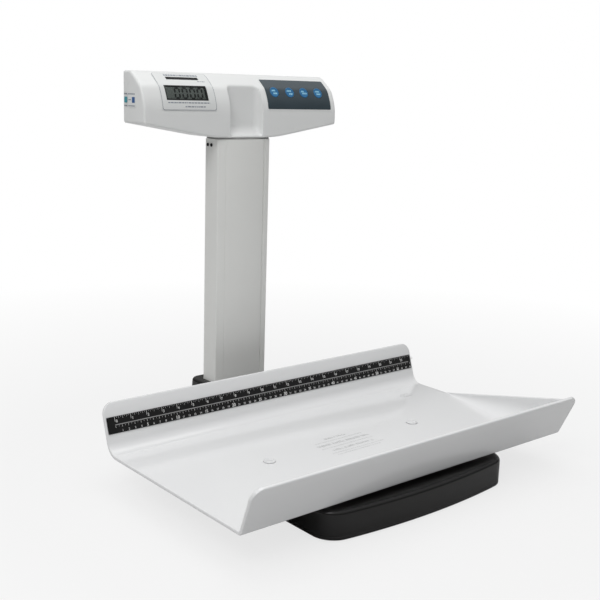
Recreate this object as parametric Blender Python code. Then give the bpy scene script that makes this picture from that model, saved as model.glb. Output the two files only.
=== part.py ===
"""Digital tray scale for small animals: tray on a load cell, base, column and read-out head.

The frame: origin at the middle of the footprint on the surface the scale stands on, +X along the
tray (to the right), +Y to the rear, where the column stands, and +Z up.  All sizes are in metres.
"""
import math

import bmesh
import bpy
from mathutils import Matrix, Vector

MM = 0.001
GAP = 0.3 * MM                 # clearance left between two pieces that touch
ROUND = 20                     # sides of an ordinary round piece

# --- tray pan: one bent sheet, open at its left end, with a low guard at its right end
TRAY_HALF_LENGTH = 301 * MM
TRAY_SHEET = 5 * MM
TRAY_UNDERSIDE = 46 * MM
TRAY_FRONT_BEND_Y = -222 * MM
TRAY_REAR_BEND_Y = 84 * MM
LIP_TOP = (-250 * MM, 111 * MM)
WALL_TOP = (107 * MM, 116 * MM)
FRONT_BEND_RADIUS = 7 * MM
REAR_BEND_RADIUS = 25 * MM
TRAY_CORNER_RADIUS = 17 * MM
LIP_END_FLARE = 4 * MM
GUARD_LEAN = 2.6 * MM          # how far the guard's top stands out from its foot
GUARD_REAR_Y = 6 * MM
TRAY_SCREW_X = 139 * MM
TRAY_SCREW_Y = -68 * MM
CAP_RADIUS = 8.8 * MM

# --- measuring strip on the rear wall
RULER_LEFT_X = -298.5 * MM
RULER_RIGHT_X = 297.5 * MM
RULER_LOW_Z = 75.5 * MM
RULER_HIGH_Z = 97.7 * MM
RULER_THICKNESS = 0.8 * MM

# --- base
BASE_HALF_WIDTH = 172 * MM
BASE_FRONT_Y = -242 * MM
BASE_FRONT_ARC = 1060 * MM     # radius of the bowed front face in plan
BASE_CORNER_RADIUS = 33 * MM
BASE_SHOULDER_Y = 112 * MM
BASE_REAR_Y = 250 * MM
NECK_HALF_WIDTH = 76 * MM
COVER_LOW_Z = 1.6 * MM
COVER_TOP_Z = 41.5 * MM
COVER_WALL = 3 * MM
PLATE_LOW_Z = 4 * MM
PLATE_TOP_Z = 8 * MM
FOOT_RADIUS = 19 * MM
FOOT_PLACES = {"front_left": (-140 * MM, -200 * MM), "front_right": (140 * MM, -200 * MM),
               "rear_left": (-140 * MM, 80 * MM), "rear_right": (140 * MM, 80 * MM)}

# --- weighing mechanism
CELL_HALF_LENGTH = 75 * MM
CELL_HALF_WIDTH = 20 * MM
CELL_LOW_Z = 11.3 * MM
CELL_TOP_Z = 29.3 * MM
SPIDER_LOW_Z = 32.9 * MM
SPIDER_TOP_Z = 36.9 * MM
SPIDER_PAD_PLACES = {"front": (0.0, -175 * MM), "rear": (0.0, 39 * MM)}
POST_RADIUS = 9 * MM
POST_HOLE_RADIUS = 12 * MM

# --- column and the boot round its foot
COLUMN_HALF_WIDTH = 50 * MM
COLUMN_SIDE_FRONT_Y = 190 * MM
COLUMN_REAR_Y = 223.5 * MM
COLUMN_BOW = 7.5 * MM          # how far the middle of the front stands out
COLUMN_WALL = 2 * MM
COLUMN_LOW_Z = 42.2 * MM
COLUMN_TOP_Z = 469.4 * MM
COLUMN_SCREW_Z = 460 * MM
COLUMN_SCREW_YS = {"front": 207 * MM, "rear": 216.5 * MM}
SCREW_BORE_RADIUS = 1.9 * MM
BOOT_TOP_Z = 81 * MM
BOOT_HALF_WIDTH = 62.5 * MM
BOOT_FRONT_Y = 168 * MM
BOOT_REAR_Y = 247 * MM

# --- head
HEAD_HALF_LENGTH = 183.5 * MM
HEAD_REAR_Y = 244 * MM
HEAD_SEAM_Y = 229 * MM
HEAD_TOP_Z = 568 * MM
HEAD_LOW_Z = 472 * MM
HEAD_END_LOW_Z = 492.6 * MM    # the underside rises towards both ends
HEAD_FLAT_HALF = 59 * MM       # half length of the level part of the underside
HEAD_WALL = 2.5 * MM
HEAD_REAR_WALL = 4.5 * MM
CHANNEL_HALF_WIDTH = 31.5 * MM
CHANNEL_FLOOR_Y = 200 * MM
CHANNEL_FILLET = 10 * MM       # rounds the inner corners of the channel
CHANNEL_SCOOP = 18 * MM        # radius in which its floor comes forward at the bottom
# outline of the head's front, as (y, z), from the top edge down to the underside
HEAD_FRONT = [(224 * MM, 568 * MM), (210 * MM, 559 * MM), (196 * MM, 547 * MM),
              (190.6 * MM, 536 * MM), (185.5 * MM, 526 * MM), (184 * MM, 515 * MM),
              (184 * MM, 472 * MM)]

# --- read-out and keys, as left, right, low and high edges on the head's front
PANEL = (-152.6 * MM, -56.7 * MM, 512.5 * MM, 565.5 * MM)
WINDOW = (-143 * MM, -72 * MM, 527.5 * MM, 546.5 * MM)
KEYPAD = (41.6 * MM, 172 * MM, 516 * MM, 560.5 * MM)
KEY_XS = (59.3 * MM, 90.5 * MM, 119.8 * MM, 149.7 * MM)
KEY_Z = 542 * MM
KEY_RADIUS = 8.5 * MM
SKIN = 0.4 * MM                # thickness of an overlay

# --- battery compartment in the back of the head
DOOR = (-60 * MM, 60 * MM, 474.3 * MM, 522 * MM)
DOOR_THICKNESS = 2 * MM
BATTERY_RADIUS = 7.1 * MM
BATTERY_LENGTH = 50 * MM
BATTERY_Y = 231.4 * MM
BATTERY_ROWS = (490.5 * MM, 507.5 * MM)

# --- other things in the back of the head
JACK_PLACE = (-122 * MM, 231 * MM, 512 * MM)
INLET_BORE_RADIUS = 3.3 * MM
HEAD_SCREW_PLACES = [(-168 * MM, 556 * MM), (168 * MM, 556 * MM),
                     (-150 * MM, 500 * MM), (150 * MM, 500 * MM)]


# ---------------------------------------------------------------- helpers

def clear_scene():
    for item in list(bpy.data.objects):
        bpy.data.objects.remove(item, do_unlink=True)


def material(name, colour, roughness, metallic=0.0, alpha=1.0):
    mat = bpy.data.materials.new(name)
    mat.use_nodes = True
    shader = mat.node_tree.nodes["Principled BSDF"]
    shader.inputs["Base Color"].default_value = (*colour, 1.0)
    shader.inputs["Roughness"].default_value = roughness
    shader.inputs["Metallic"].default_value = metallic
    shader.inputs["Alpha"].default_value = alpha
    mat.diffuse_color = (*colour, alpha)
    return mat


def add_object(name, bm, mat=None, origin=(0, 0, 0), smooth=False):
    """Turn a bmesh in world coordinates into an object whose origin is at the given place."""
    bmesh.ops.recalc_face_normals(bm, faces=bm.faces)
    bmesh.ops.translate(bm, verts=bm.verts, vec=-Vector(origin))
    mesh = bpy.data.meshes.new(name)
    bm.to_mesh(mesh)
    bm.free()
    if smooth:
        mesh.shade_smooth()
        mesh.set_sharp_from_angle(angle=math.radians(35))
    item = bpy.data.objects.new(name, mesh)
    item.location = origin
    if mat:
        mesh.materials.append(mat)
    bpy.context.scene.collection.objects.link(item)
    return item


def loft(name, rings, mat=None, origin=(0, 0, 0), smooth=False):
    """Join closed rings of equal length one after another and cap the first and the last."""
    bm = bmesh.new()
    loops = [[bm.verts.new(point) for point in ring] for ring in rings]
    for lower, upper in zip(loops, loops[1:]):
        for i in range(len(lower)):
            j = (i + 1) % len(lower)
            bm.faces.new((lower[i], lower[j], upper[j], upper[i]))
    bm.faces.new(loops[0])
    bm.faces.new(loops[-1])
    return add_object(name, bm, mat, origin, smooth)


def box(name, low, high, mat=None, origin=(0, 0, 0)):
    ring = [(low[0], low[1]), (high[0], low[1]), (high[0], high[1]), (low[0], high[1])]
    return loft(name, [[(x, y, z) for x, y in ring] for z in (low[2], high[2])], mat, origin)


def prism_z(name, outline, low_z, high_z, mat=None, origin=(0, 0, 0), smooth=False):
    rings = [[(x, y, z) for x, y in outline] for z in (low_z, high_z)]
    return loft(name, rings, mat, origin, smooth)


def prism_x(name, outline, left_x, right_x, mat=None):
    return loft(name, [[(x, y, z) for y, z in outline] for x in (left_x, right_x)], mat)


def rod(name, start, axis, profile, mat=None, origin=(0, 0, 0), sides=ROUND):
    """A turned piece: profile is a list of (distance along axis, radius)."""
    turn = Vector((0, 0, 1)).rotation_difference(Vector(axis)).to_matrix()
    rings = []
    for along, radius in profile:
        ring = []
        for i in range(sides):
            angle = 2 * math.pi * i / sides
            spoke = Vector((radius * math.cos(angle), radius * math.sin(angle), along))
            ring.append(Vector(start) + turn @ spoke)
        rings.append(ring)
    return loft(name, rings, mat, origin, smooth=True)


def hide_tool(tool):
    tool.hide_render = True
    tool.display_type = "WIRE"


def boolean(item, tool, operation):
    step = item.modifiers.new(operation.lower() + "_" + tool.name, "BOOLEAN")
    step.operation = operation
    step.solver = "EXACT"
    step.object = tool
    hide_tool(tool)


def cut(item, *tools):
    for tool in tools:
        boolean(item, tool, "DIFFERENCE")


def unite(item, *tools):
    for tool in tools:
        boolean(item, tool, "UNION")


def arc_corner(before, corner, after, radius, steps):
    """Points of the arc that rounds a corner of a path, from its first to its last tangent point."""
    to_before = (Vector(before) - Vector(corner)).normalized()
    to_after = (Vector(after) - Vector(corner)).normalized()
    half = to_before.angle(to_after) / 2
    centre = Vector(corner) + (to_before + to_after).normalized() * radius / math.sin(half)
    start = Vector(corner) + to_before * radius / math.tan(half) - centre
    end = Vector(corner) + to_after * radius / math.tan(half) - centre
    sweep = start.angle_signed(end)
    points = []
    for i in range(steps + 1):
        turned = Matrix.Rotation(-sweep * i / steps, 2) @ start
        points.append(tuple(centre + turned))
    return points


def rounded(corners, steps=5):
    """A closed outline from (x, y, corner radius) triples."""
    outline = []
    for i, (x, y, radius) in enumerate(corners):
        if radius:
            before = corners[i - 1][:2]
            after = corners[(i + 1) % len(corners)][:2]
            outline += arc_corner(before, (x, y), after, radius, steps)
        else:
            outline.append((x, y))
    return outline


def inset(outline, distance):
    """Move every side of a counter-clockwise outline inwards by the same distance."""
    moved = []
    for i, point in enumerate(outline):
        here = Vector(point)
        back = (here - Vector(outline[i - 1])).normalized()
        ahead = (Vector(outline[(i + 1) % len(outline)]) - here).normalized()
        normal_back = Vector((-back.y, back.x))
        normal_ahead = Vector((-ahead.y, ahead.x))
        mitre = (normal_back + normal_ahead).normalized()
        moved.append(tuple(here + mitre * distance / mitre.dot(normal_back)))
    return moved


def shell(name, outline, outer, inner, mat, smooth=True):
    """A cap open at the bottom; outer and inner are (inset, height) steps from the rim to the top."""
    steps = list(reversed(outer)) + list(inner)
    rings = [[(x, y, z) for x, y in inset(outline, distance)] for distance, z in steps]
    return loft(name, rings, mat, smooth=smooth)


def head_front_point(z, offset=0.0):
    """The point of the head's front outline at height z, moved outwards by offset."""
    for (y1, z1), (y2, z2) in zip(HEAD_FRONT, HEAD_FRONT[1:]):
        if z2 <= z <= z1:
            share = (z1 - z) / (z1 - z2)
            along = Vector((y2 - y1, z2 - z1)).normalized()
            normal = Vector((along.y, -along.x))
            return Vector((y1 + (y2 - y1) * share, z)) + normal * offset, normal
    raise ValueError("height is not on the head's front")


def head_patch(name, area, low_offset, high_offset, mat):
    """A sheet that follows the head's front between two offsets from its surface."""
    left, right, low, high = area
    heights = [high] + [z for _, z in HEAD_FRONT if low < z < high] + [low]
    outer = [tuple(mitred_head_point(z, high_offset)) for z in heights]
    inner = [tuple(mitred_head_point(z, low_offset)) for z in reversed(heights)]
    return prism_x(name, outer + inner, left, right, mat)


def mitred_head_point(z, offset):
    """Like head_front_point, with the normal of a corner taken halfway between its two sides."""
    _, above = head_front_point(min(z + 0.01 * MM, HEAD_TOP_Z), 0.0)
    _, below = head_front_point(z - 0.01 * MM, 0.0)
    mitre = (above + below).normalized()
    base, _ = head_front_point(z, 0.0)
    return base + mitre * offset / mitre.dot(above)


def column_outline(grow=0.0):
    """Plan of the column, counter-clockwise: bowed front, flat sides and back."""
    front = []
    for i in range(9):
        share = i / 4 - 1
        bow = COLUMN_BOW * (1 - share * share)
        front.append((share * COLUMN_HALF_WIDTH, COLUMN_SIDE_FRONT_Y - bow))
    plan = front + [(COLUMN_HALF_WIDTH, COLUMN_REAR_Y), (-COLUMN_HALF_WIDTH, COLUMN_REAR_Y)]
    return inset(plan, -grow)


# ---------------------------------------------------------------- tray

def tray_section():
    """Stations along the tray's outer face: (point, inward normal, half length)."""
    path = [LIP_TOP, (TRAY_FRONT_BEND_Y, TRAY_UNDERSIDE), (TRAY_REAR_BEND_Y, TRAY_UNDERSIDE), WALL_TOP]
    front_bend = arc_corner(*path[:3], FRONT_BEND_RADIUS, 5)
    rear_bend = arc_corner(*path[1:], REAR_BEND_RADIUS, 7)
    return [LIP_TOP] + front_bend + rear_bend + [WALL_TOP]


def corner_steps():
    """(distance below the top edge, how much the rounded corner shortens the sheet there)."""
    steps = []
    for i in range(6):
        angle = math.pi / 2 * i / 5
        steps.append((TRAY_CORNER_RADIUS * (1 - math.cos(angle)),
                      TRAY_CORNER_RADIUS * (1 - math.sin(angle))))
    return steps


def tray_stations():
    section = [Vector(point) for point in tray_section()]
    lip = (section[1] - section[0]).normalized()
    wall = (section[-2] - section[-1]).normalized()
    lip_length = (section[1] - section[0]).length
    stations = []
    for down, short in corner_steps():
        flare = LIP_END_FLARE * (1 - down / lip_length)
        stations.append((section[0] + lip * down, Vector((-lip.y, lip.x)),
                         TRAY_HALF_LENGTH + flare - short))
    for i in range(1, len(section) - 1):
        along = (section[i + 1] - section[i - 1]).normalized()
        stations.append((section[i], Vector((-along.y, along.x)), TRAY_HALF_LENGTH))
    for down, short in reversed(corner_steps()):
        stations.append((section[-1] + wall * down, Vector((wall.y, -wall.x)),
                         TRAY_HALF_LENGTH - short))
    return stations


def tray_pan(mat, origin):
    rings = []
    for point, normal, half in tray_stations():
        inner = point + normal * TRAY_SHEET
        rings.append([(-half, point.x, point.y), (half, point.x, point.y),
                      (half, inner.x, inner.y), (-half, inner.x, inner.y)])
    pan = loft("tray_pan", rings, mat, origin, smooth=True)
    unite(pan, end_guard())
    for side in (-1, 1):
        place = (side * TRAY_SCREW_X, TRAY_SCREW_Y, TRAY_UNDERSIDE - MM)
        cut(pan, rod("tray_bore_%d" % side, place, (0, 0, 1),
                     [(0, 3.5 * MM), (3 * MM, 3.5 * MM), (3 * MM, 7 * MM), (8 * MM, 7 * MM)]))
    return pan


def end_guard():
    """The low triangular guard that closes the tray's right end up to the lip."""
    floor = TRAY_UNDERSIDE + 0.5 * MM
    side = [(GUARD_REAR_Y, floor), (TRAY_FRONT_BEND_Y + 9 * MM, floor),
            (LIP_TOP[0] + 5 * MM, LIP_TOP[1] - 6 * MM), (LIP_TOP[0] + 8 * MM, LIP_TOP[1] - 4 * MM),
            (GUARD_REAR_Y, floor + 5 * MM)]
    lean = GUARD_LEAN / (LIP_TOP[1] - TRAY_UNDERSIDE)
    rings = []
    for inwards in (TRAY_SHEET, 0.05 * MM):
        rings.append([(TRAY_HALF_LENGTH + lean * (z - floor) - inwards, y, z) for y, z in side])
    return loft("end_guard_tool", rings)


def wall_face(z, offset):
    """A point on the tray's rear wall, offset from its inner face towards the front."""
    along = Vector((WALL_TOP[0] - TRAY_REAR_BEND_Y, WALL_TOP[1] - TRAY_UNDERSIDE)).normalized()
    normal = Vector((-along.y, along.x))
    start = Vector(WALL_TOP) + normal * (TRAY_SHEET + offset)
    return start + along * (z - start.y) / along.y


def ruler_strip(mat, origin):
    front = GAP + RULER_THICKNESS
    outline = [wall_face(RULER_LOW_Z, GAP), wall_face(RULER_HIGH_Z, GAP),
               wall_face(RULER_HIGH_Z, front), wall_face(RULER_LOW_Z, front)]
    rings = [[(x, *point) for point in outline] for x in (RULER_LEFT_X, RULER_RIGHT_X)]
    return loft("ruler_strip", rings, mat, origin)


def tray_fasteners(mats, origin):
    """Two screws through the tray into the spider's posts, each under a flat cap."""
    pieces = []
    floor = TRAY_UNDERSIDE + TRAY_SHEET
    for side, label in ((-1, "left"), (1, "right")):
        x = side * TRAY_SCREW_X
        head_low = TRAY_UNDERSIDE + 2 * MM + GAP
        pieces.append(rod("tray_screw_" + label, (x, TRAY_SCREW_Y, 35 * MM), (0, 0, 1),
                          [(0, 2.6 * MM), (head_low - 35 * MM, 2.6 * MM),
                           (head_low - 35 * MM, 6 * MM), (head_low - 33 * MM, 6 * MM)],
                          mats["steel"], origin, sides=16))
        pieces.append(rod("tray_screw_cap_" + label, (x, TRAY_SCREW_Y, floor + GAP), (0, 0, 1),
                          [(0, CAP_RADIUS), (0.9 * MM, CAP_RADIUS), (1.4 * MM, CAP_RADIUS - 0.8 * MM)],
                          mats["cap"], origin, sides=24))
    return pieces


def spider(mat, origin):
    """The platform under the tray: a cross with two screw posts and two pad posts."""
    frame = box("platform_spider", (-152 * MM, TRAY_SCREW_Y - 22 * MM, SPIDER_LOW_Z),
                (152 * MM, TRAY_SCREW_Y + 22 * MM, SPIDER_TOP_Z), mat, origin)
    unite(frame, box("spider_arm_tool", (-30 * MM, -190 * MM, SPIDER_LOW_Z),
                     (30 * MM, 54 * MM, SPIDER_TOP_Z)))
    sink = 1 * MM
    for side in (-1, 1):
        centre = (side * TRAY_SCREW_X, TRAY_SCREW_Y, SPIDER_TOP_Z - sink)
        height = TRAY_UNDERSIDE - GAP - centre[2]
        unite(frame, rod("post_tool_%d" % side, centre, (0, 0, 1),
                         [(0, POST_RADIUS), (height, POST_RADIUS)]))
        cut(frame, rod("post_bore_%d" % side, (centre[0], centre[1], 30 * MM), (0, 0, 1),
                       [(0, 3.2 * MM), (20 * MM, 3.2 * MM)]))
    for label, (x, y) in SPIDER_PAD_PLACES.items():
        unite(frame, rod("pad_post_tool_" + label, (x, y, SPIDER_TOP_Z - sink), (0, 0, 1),
                         [(0, POST_RADIUS), (7.2 * MM, POST_RADIUS)]))
    return frame


def tray_pads(mat, origin):
    low = SPIDER_TOP_Z + 6.2 * MM + GAP
    height = TRAY_UNDERSIDE - GAP - low
    return [rod("tray_pad_" + label, (x, y, low), (0, 0, 1), [(0, 10 * MM), (height, 10 * MM)], mat, origin)
            for label, (x, y) in SPIDER_PAD_PLACES.items()]


# ---------------------------------------------------------------- base

def base_outline():
    corner_y = BASE_FRONT_Y + BASE_HALF_WIDTH ** 2 / (2 * BASE_FRONT_ARC)
    corners = [(-BASE_HALF_WIDTH, corner_y, BASE_CORNER_RADIUS)]
    for i in range(-4, 5):
        x = i * 33 * MM
        corners.append((x, BASE_FRONT_Y + x * x / (2 * BASE_FRONT_ARC), 0))
    corners += [(BASE_HALF_WIDTH, corner_y, BASE_CORNER_RADIUS),
                (BASE_HALF_WIDTH, BASE_SHOULDER_Y, 30 * MM),
                (NECK_HALF_WIDTH, BASE_SHOULDER_Y, 24 * MM),
                (NECK_HALF_WIDTH, BASE_REAR_Y, 22 * MM),
                (-NECK_HALF_WIDTH, BASE_REAR_Y, 22 * MM), (-NECK_HALF_WIDTH, BASE_SHOULDER_Y, 24 * MM),
                (-BASE_HALF_WIDTH, BASE_SHOULDER_Y, 30 * MM)]
    return rounded(corners)


def base_cover(mat):
    top = COVER_TOP_Z
    cover = shell("base_cover", base_outline(),
                  [(0, COVER_LOW_Z), (0, top - 6 * MM), (1 * MM, top - 2.8 * MM),
                   (3.2 * MM, top - 0.8 * MM), (6.5 * MM, top)],
                  [(COVER_WALL, COVER_LOW_Z), (COVER_WALL, top - 6.5 * MM),
                   (6.5 * MM, top - COVER_WALL)], mat)
    holes = [(side * TRAY_SCREW_X, TRAY_SCREW_Y) for side in (-1, 1)] + list(SPIDER_PAD_PLACES.values())
    for i, (x, y) in enumerate(holes):
        cut(cover, rod("cover_hole_%d" % i, (x, y, 30 * MM), (0, 0, 1),
                       [(0, POST_HOLE_RADIUS), (20 * MM, POST_HOLE_RADIUS)]))
    cut(cover, box("cover_slot", (-47.8 * MM, 193 * MM, 30 * MM), (47.8 * MM, 221 * MM, 50 * MM)))
    return cover


def base_plate(mat):
    outline = inset(base_outline(), COVER_WALL + 0.6 * MM)
    plate = prism_z("base_plate", outline, PLATE_LOW_Z, PLATE_TOP_Z, mat)
    for label, (x, y) in FOOT_PLACES.items():
        cut(plate, rod("plate_hole_" + label, (x, y, 0), (0, 0, 1),
                       [(0, 4.6 * MM), (15 * MM, 4.6 * MM)], sides=16))
    return plate


def levelling_feet(mat):
    feet = []
    for label, (x, y) in FOOT_PLACES.items():
        profile = [(0, FOOT_RADIUS - 1.5 * MM), (1.2 * MM, FOOT_RADIUS), (3.4 * MM, FOOT_RADIUS),
                   (3.6 * MM, 4 * MM), (26 * MM, 4 * MM)]
        feet.append(rod("levelling_foot_" + label, (x, y, 0), (0, 0, 1), profile, mat, (x, y, 0)))
    return feet


def load_cell(mat):
    """A bending beam with the usual pair of joined bores through its middle."""
    y = TRAY_SCREW_Y
    cell = box("load_cell", (-CELL_HALF_LENGTH, y - CELL_HALF_WIDTH, CELL_LOW_Z),
               (CELL_HALF_LENGTH, y + CELL_HALF_WIDTH, CELL_TOP_Z), mat)
    middle = (CELL_LOW_Z + CELL_TOP_Z) / 2
    for side in (-1, 1):
        start = (side * 12 * MM, y - 30 * MM, middle)
        cut(cell, rod("cell_bore_%d" % side, start, (0, 1, 0), [(0, 7 * MM), (60 * MM, 7 * MM)]))
    cut(cell, box("cell_slot", (-12 * MM, y - 30 * MM, middle - 2 * MM),
                  (12 * MM, y + 30 * MM, middle + 2 * MM)))
    return cell


def cell_spacers(mat, platform_origin):
    """The block that holds the cell's left end on the base, and the one that carries the platform."""
    y = TRAY_SCREW_Y
    box("load_cell_lower_spacer", (-CELL_HALF_LENGTH, y - CELL_HALF_WIDTH, PLATE_TOP_Z + GAP),
        (-38 * MM, y + CELL_HALF_WIDTH, CELL_LOW_Z - GAP), mat)
    return box("load_cell_upper_spacer", (38 * MM, y - CELL_HALF_WIDTH, CELL_TOP_Z + GAP),
               (CELL_HALF_LENGTH, y + CELL_HALF_WIDTH, SPIDER_LOW_Z - GAP), mat, platform_origin)


def overload_stops(mat):
    stop_gap = 0.6 * MM
    for side, label in ((-1, "left"), (1, "right")):
        height = SPIDER_LOW_Z - stop_gap - PLATE_TOP_Z - GAP
        rod("overload_stop_" + label, (side * 120 * MM, TRAY_SCREW_Y, PLATE_TOP_Z + GAP), (0, 0, 1),
            [(0, 6 * MM), (5 * MM, 6 * MM), (5 * MM, 4 * MM), (height, 4 * MM)], mat, sides=12)


# ---------------------------------------------------------------- column

def column_boot(mat):
    outline = rounded([(-BOOT_HALF_WIDTH, BOOT_FRONT_Y, 14 * MM), (BOOT_HALF_WIDTH, BOOT_FRONT_Y, 14 * MM),
                       (BOOT_HALF_WIDTH, BOOT_REAR_Y, 14 * MM), (-BOOT_HALF_WIDTH, BOOT_REAR_Y, 14 * MM)])
    low = COVER_TOP_Z + GAP
    boot = shell("column_boot", outline,
                 [(-3 * MM, low), (0, BOOT_TOP_Z - 9 * MM), (0.8 * MM, BOOT_TOP_Z - 3.5 * MM),
                  (2.4 * MM, BOOT_TOP_Z - 1 * MM), (5 * MM, BOOT_TOP_Z)],
                 [(0, low), (3 * MM, BOOT_TOP_Z - 9 * MM), (5 * MM, BOOT_TOP_Z - 3 * MM)], mat)
    cut(boot, prism_z("boot_slot", column_outline(0.5 * MM), 40 * MM, 90 * MM))
    return boot


def column_front(mat):
    outer = column_outline()
    sides = outer[:-2]
    inner = [point for point in inset(outer, COLUMN_WALL)][:-2]
    ends = [(COLUMN_HALF_WIDTH, COLUMN_REAR_Y), (COLUMN_HALF_WIDTH - COLUMN_WALL, COLUMN_REAR_Y)]
    mirrored = [(-COLUMN_HALF_WIDTH + COLUMN_WALL, COLUMN_REAR_Y), (-COLUMN_HALF_WIDTH, COLUMN_REAR_Y)]
    outline = sides + ends + list(reversed(inner)) + mirrored
    front = prism_z("column_front", outline, COLUMN_LOW_Z, COLUMN_TOP_Z, mat, smooth=True)
    for side, label, y in column_screw_places():
        start = (side * 44 * MM, y, COLUMN_SCREW_Z)
        cut(front, rod("column_bore_%s" % label, start, (side, 0, 0),
                       [(0, SCREW_BORE_RADIUS), (9 * MM, SCREW_BORE_RADIUS)], sides=12))
    return front


def column_screw_places():
    return [(side, "%s_%s" % (name, row), y) for side, name in ((-1, "left"), (1, "right"))
            for row, y in COLUMN_SCREW_YS.items()]


def column_rear(mat):
    half = COLUMN_HALF_WIDTH - COLUMN_WALL - GAP
    return box("column_rear_panel", (-half, 220.6 * MM, COLUMN_LOW_Z),
               (half, 223.2 * MM, COLUMN_TOP_Z), mat)


def column_gasket(mat):
    """Thin black seal between the top of the column and the head."""
    gasket = prism_z("column_gasket", column_outline(-0.8 * MM), COLUMN_TOP_Z + GAP, HEAD_LOW_Z - GAP, mat)
    cut(gasket, box("gasket_slot_tool", (-48 * MM, 200 * MM, 460 * MM), (48 * MM, 220.5 * MM, 480 * MM)))
    return gasket


def foot_bracket(mat):
    """Channel bolted to the base plate that holds the column upright."""
    half = COLUMN_HALF_WIDTH - COLUMN_WALL - 0.6 * MM
    wall = 3 * MM
    back = 218.6 * MM
    front = 197 * MM
    outline = [(-half, front), (-half + wall, front), (-half + wall, back - wall),
               (half - wall, back - wall), (half - wall, front), (half, front), (half, back), (-half, back)]
    return prism_z("column_foot_bracket", outline, PLATE_TOP_Z + GAP, 118 * MM, mat)


def head_bracket(mat):
    """Casting in the top of the column; its neck goes up into the head and carries it."""
    half = COLUMN_HALF_WIDTH - COLUMN_WALL - 0.6 * MM
    casting = box("head_bracket", (-half, 203 * MM, 436 * MM), (half, 219.8 * MM, 470 * MM), mat)
    unite(casting, box("neck_tool", (-30 * MM, 206 * MM, 465 * MM), (30 * MM, 219.8 * MM, 500 * MM)))
    cut(casting, box("duct_tool", (-12 * MM, 208.6 * MM, 430 * MM), (12 * MM, 217 * MM, 510 * MM)))
    for side, label, y in column_screw_places():
        start = (side * 38 * MM, y, COLUMN_SCREW_Z)
        cut(casting, rod("casting_bore_%s" % label, start, (side, 0, 0),
                         [(0, SCREW_BORE_RADIUS), (12 * MM, SCREW_BORE_RADIUS)], sides=12))
    return casting


def column_screws(mat):
    for side, label, y in column_screw_places():
        head = COLUMN_HALF_WIDTH + GAP - 40 * MM
        rod("column_screw_" + label, (side * 40 * MM, y, COLUMN_SCREW_Z), (side, 0, 0),
            [(0, 1.5 * MM), (head, 1.5 * MM), (head, 2.8 * MM), (head + 1 * MM, 2.8 * MM),
             (head + 1.5 * MM, 1.9 * MM)], mat, sides=12)


def signal_cable(mat):
    """Lead from the load cell through the base, up the column and the head bracket to the board."""
    route = [(85, -68, 20), (98, -66, 18), (104, -50, 16), (104, -10, 15), (102, 40, 15), (90, 85, 15),
             (62, 125, 15), (30, 160, 15), (10, 188, 18), (2, 202, 28), (0, 206, 48), (0, 207, 90),
             (0, 209, 160), (0, 211, 280), (0, 212, 380), (0, 212.8, 440), (0, 212.8, 480),
             (0, 212.4, 503), (-5, 211, 516), (-16, 209.5, 525), (-30, 209, 529), (-42, 209, 530)]
    curve = bpy.data.curves.new("signal_cable", "CURVE")
    curve.dimensions = "3D"
    curve.bevel_depth = 2.4 * MM
    curve.bevel_resolution = 2
    curve.use_fill_caps = True
    points = smooth_route([Vector(point) * MM for point in route], 3)
    spline = curve.splines.new("POLY")
    spline.points.add(len(points) - 1)
    for slot, point in zip(spline.points, points):
        slot.co = (*point, 1)
    item = bpy.data.objects.new("signal_cable", curve)
    curve.materials.append(mat)
    bpy.context.scene.collection.objects.link(item)
    return item


def smooth_route(points, steps):
    """A Catmull-Rom curve through the points, with steps pieces between two of them."""
    ends = [2 * points[0] - points[1]] + points + [2 * points[-1] - points[-2]]
    curve = []
    for a, b, c, d in zip(ends, ends[1:], ends[2:], ends[3:]):
        for i in range(steps):
            t = i / steps
            curve.append(0.5 * (2 * b + (c - a) * t + (2 * a - 5 * b + 4 * c - d) * t ** 2
                                + (3 * b - a - 3 * c + d) * t ** 3))
    return curve + [points[-1]]


# ---------------------------------------------------------------- head

def taper_tools(name, rise=0.0, reach=0.0):
    """Wedges below the head's underside, which rises from its level middle to both ends."""
    wedges = []
    slope = (HEAD_END_LOW_Z - HEAD_LOW_Z) / (HEAD_HALF_LENGTH - HEAD_FLAT_HALF)
    far = HEAD_HALF_LENGTH + 20 * MM
    for side in (-1, 1):
        end_z = HEAD_LOW_Z + rise + slope * (far - HEAD_FLAT_HALF)
        start_x = HEAD_FLAT_HALF - rise * 0.1
        corners = [(start_x, HEAD_LOW_Z + rise), (far, end_z), (far, HEAD_LOW_Z - 20 * MM),
                   (start_x, HEAD_LOW_Z - 20 * MM)]
        rings = [[(side * x, y, z) for x, z in corners] for y in (160 * MM - reach, 260 * MM + reach)]
        wedges.append(loft("%s_taper_%d" % (name, side), rings))
    return wedges


def head_inner_outline(back_y):
    """The inside of the head's section, one wall thickness in from the outside."""
    heights = [z for _, z in HEAD_FRONT][1:-1]
    front = [tuple(mitred_head_point(z, -HEAD_WALL)) for z in heights]
    top = HEAD_TOP_Z - HEAD_WALL
    return ([(back_y, top), (225 * MM, top)] + front
            + [(184 * MM + HEAD_WALL, HEAD_LOW_Z + HEAD_WALL), (back_y, HEAD_LOW_Z + HEAD_WALL)])


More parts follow.
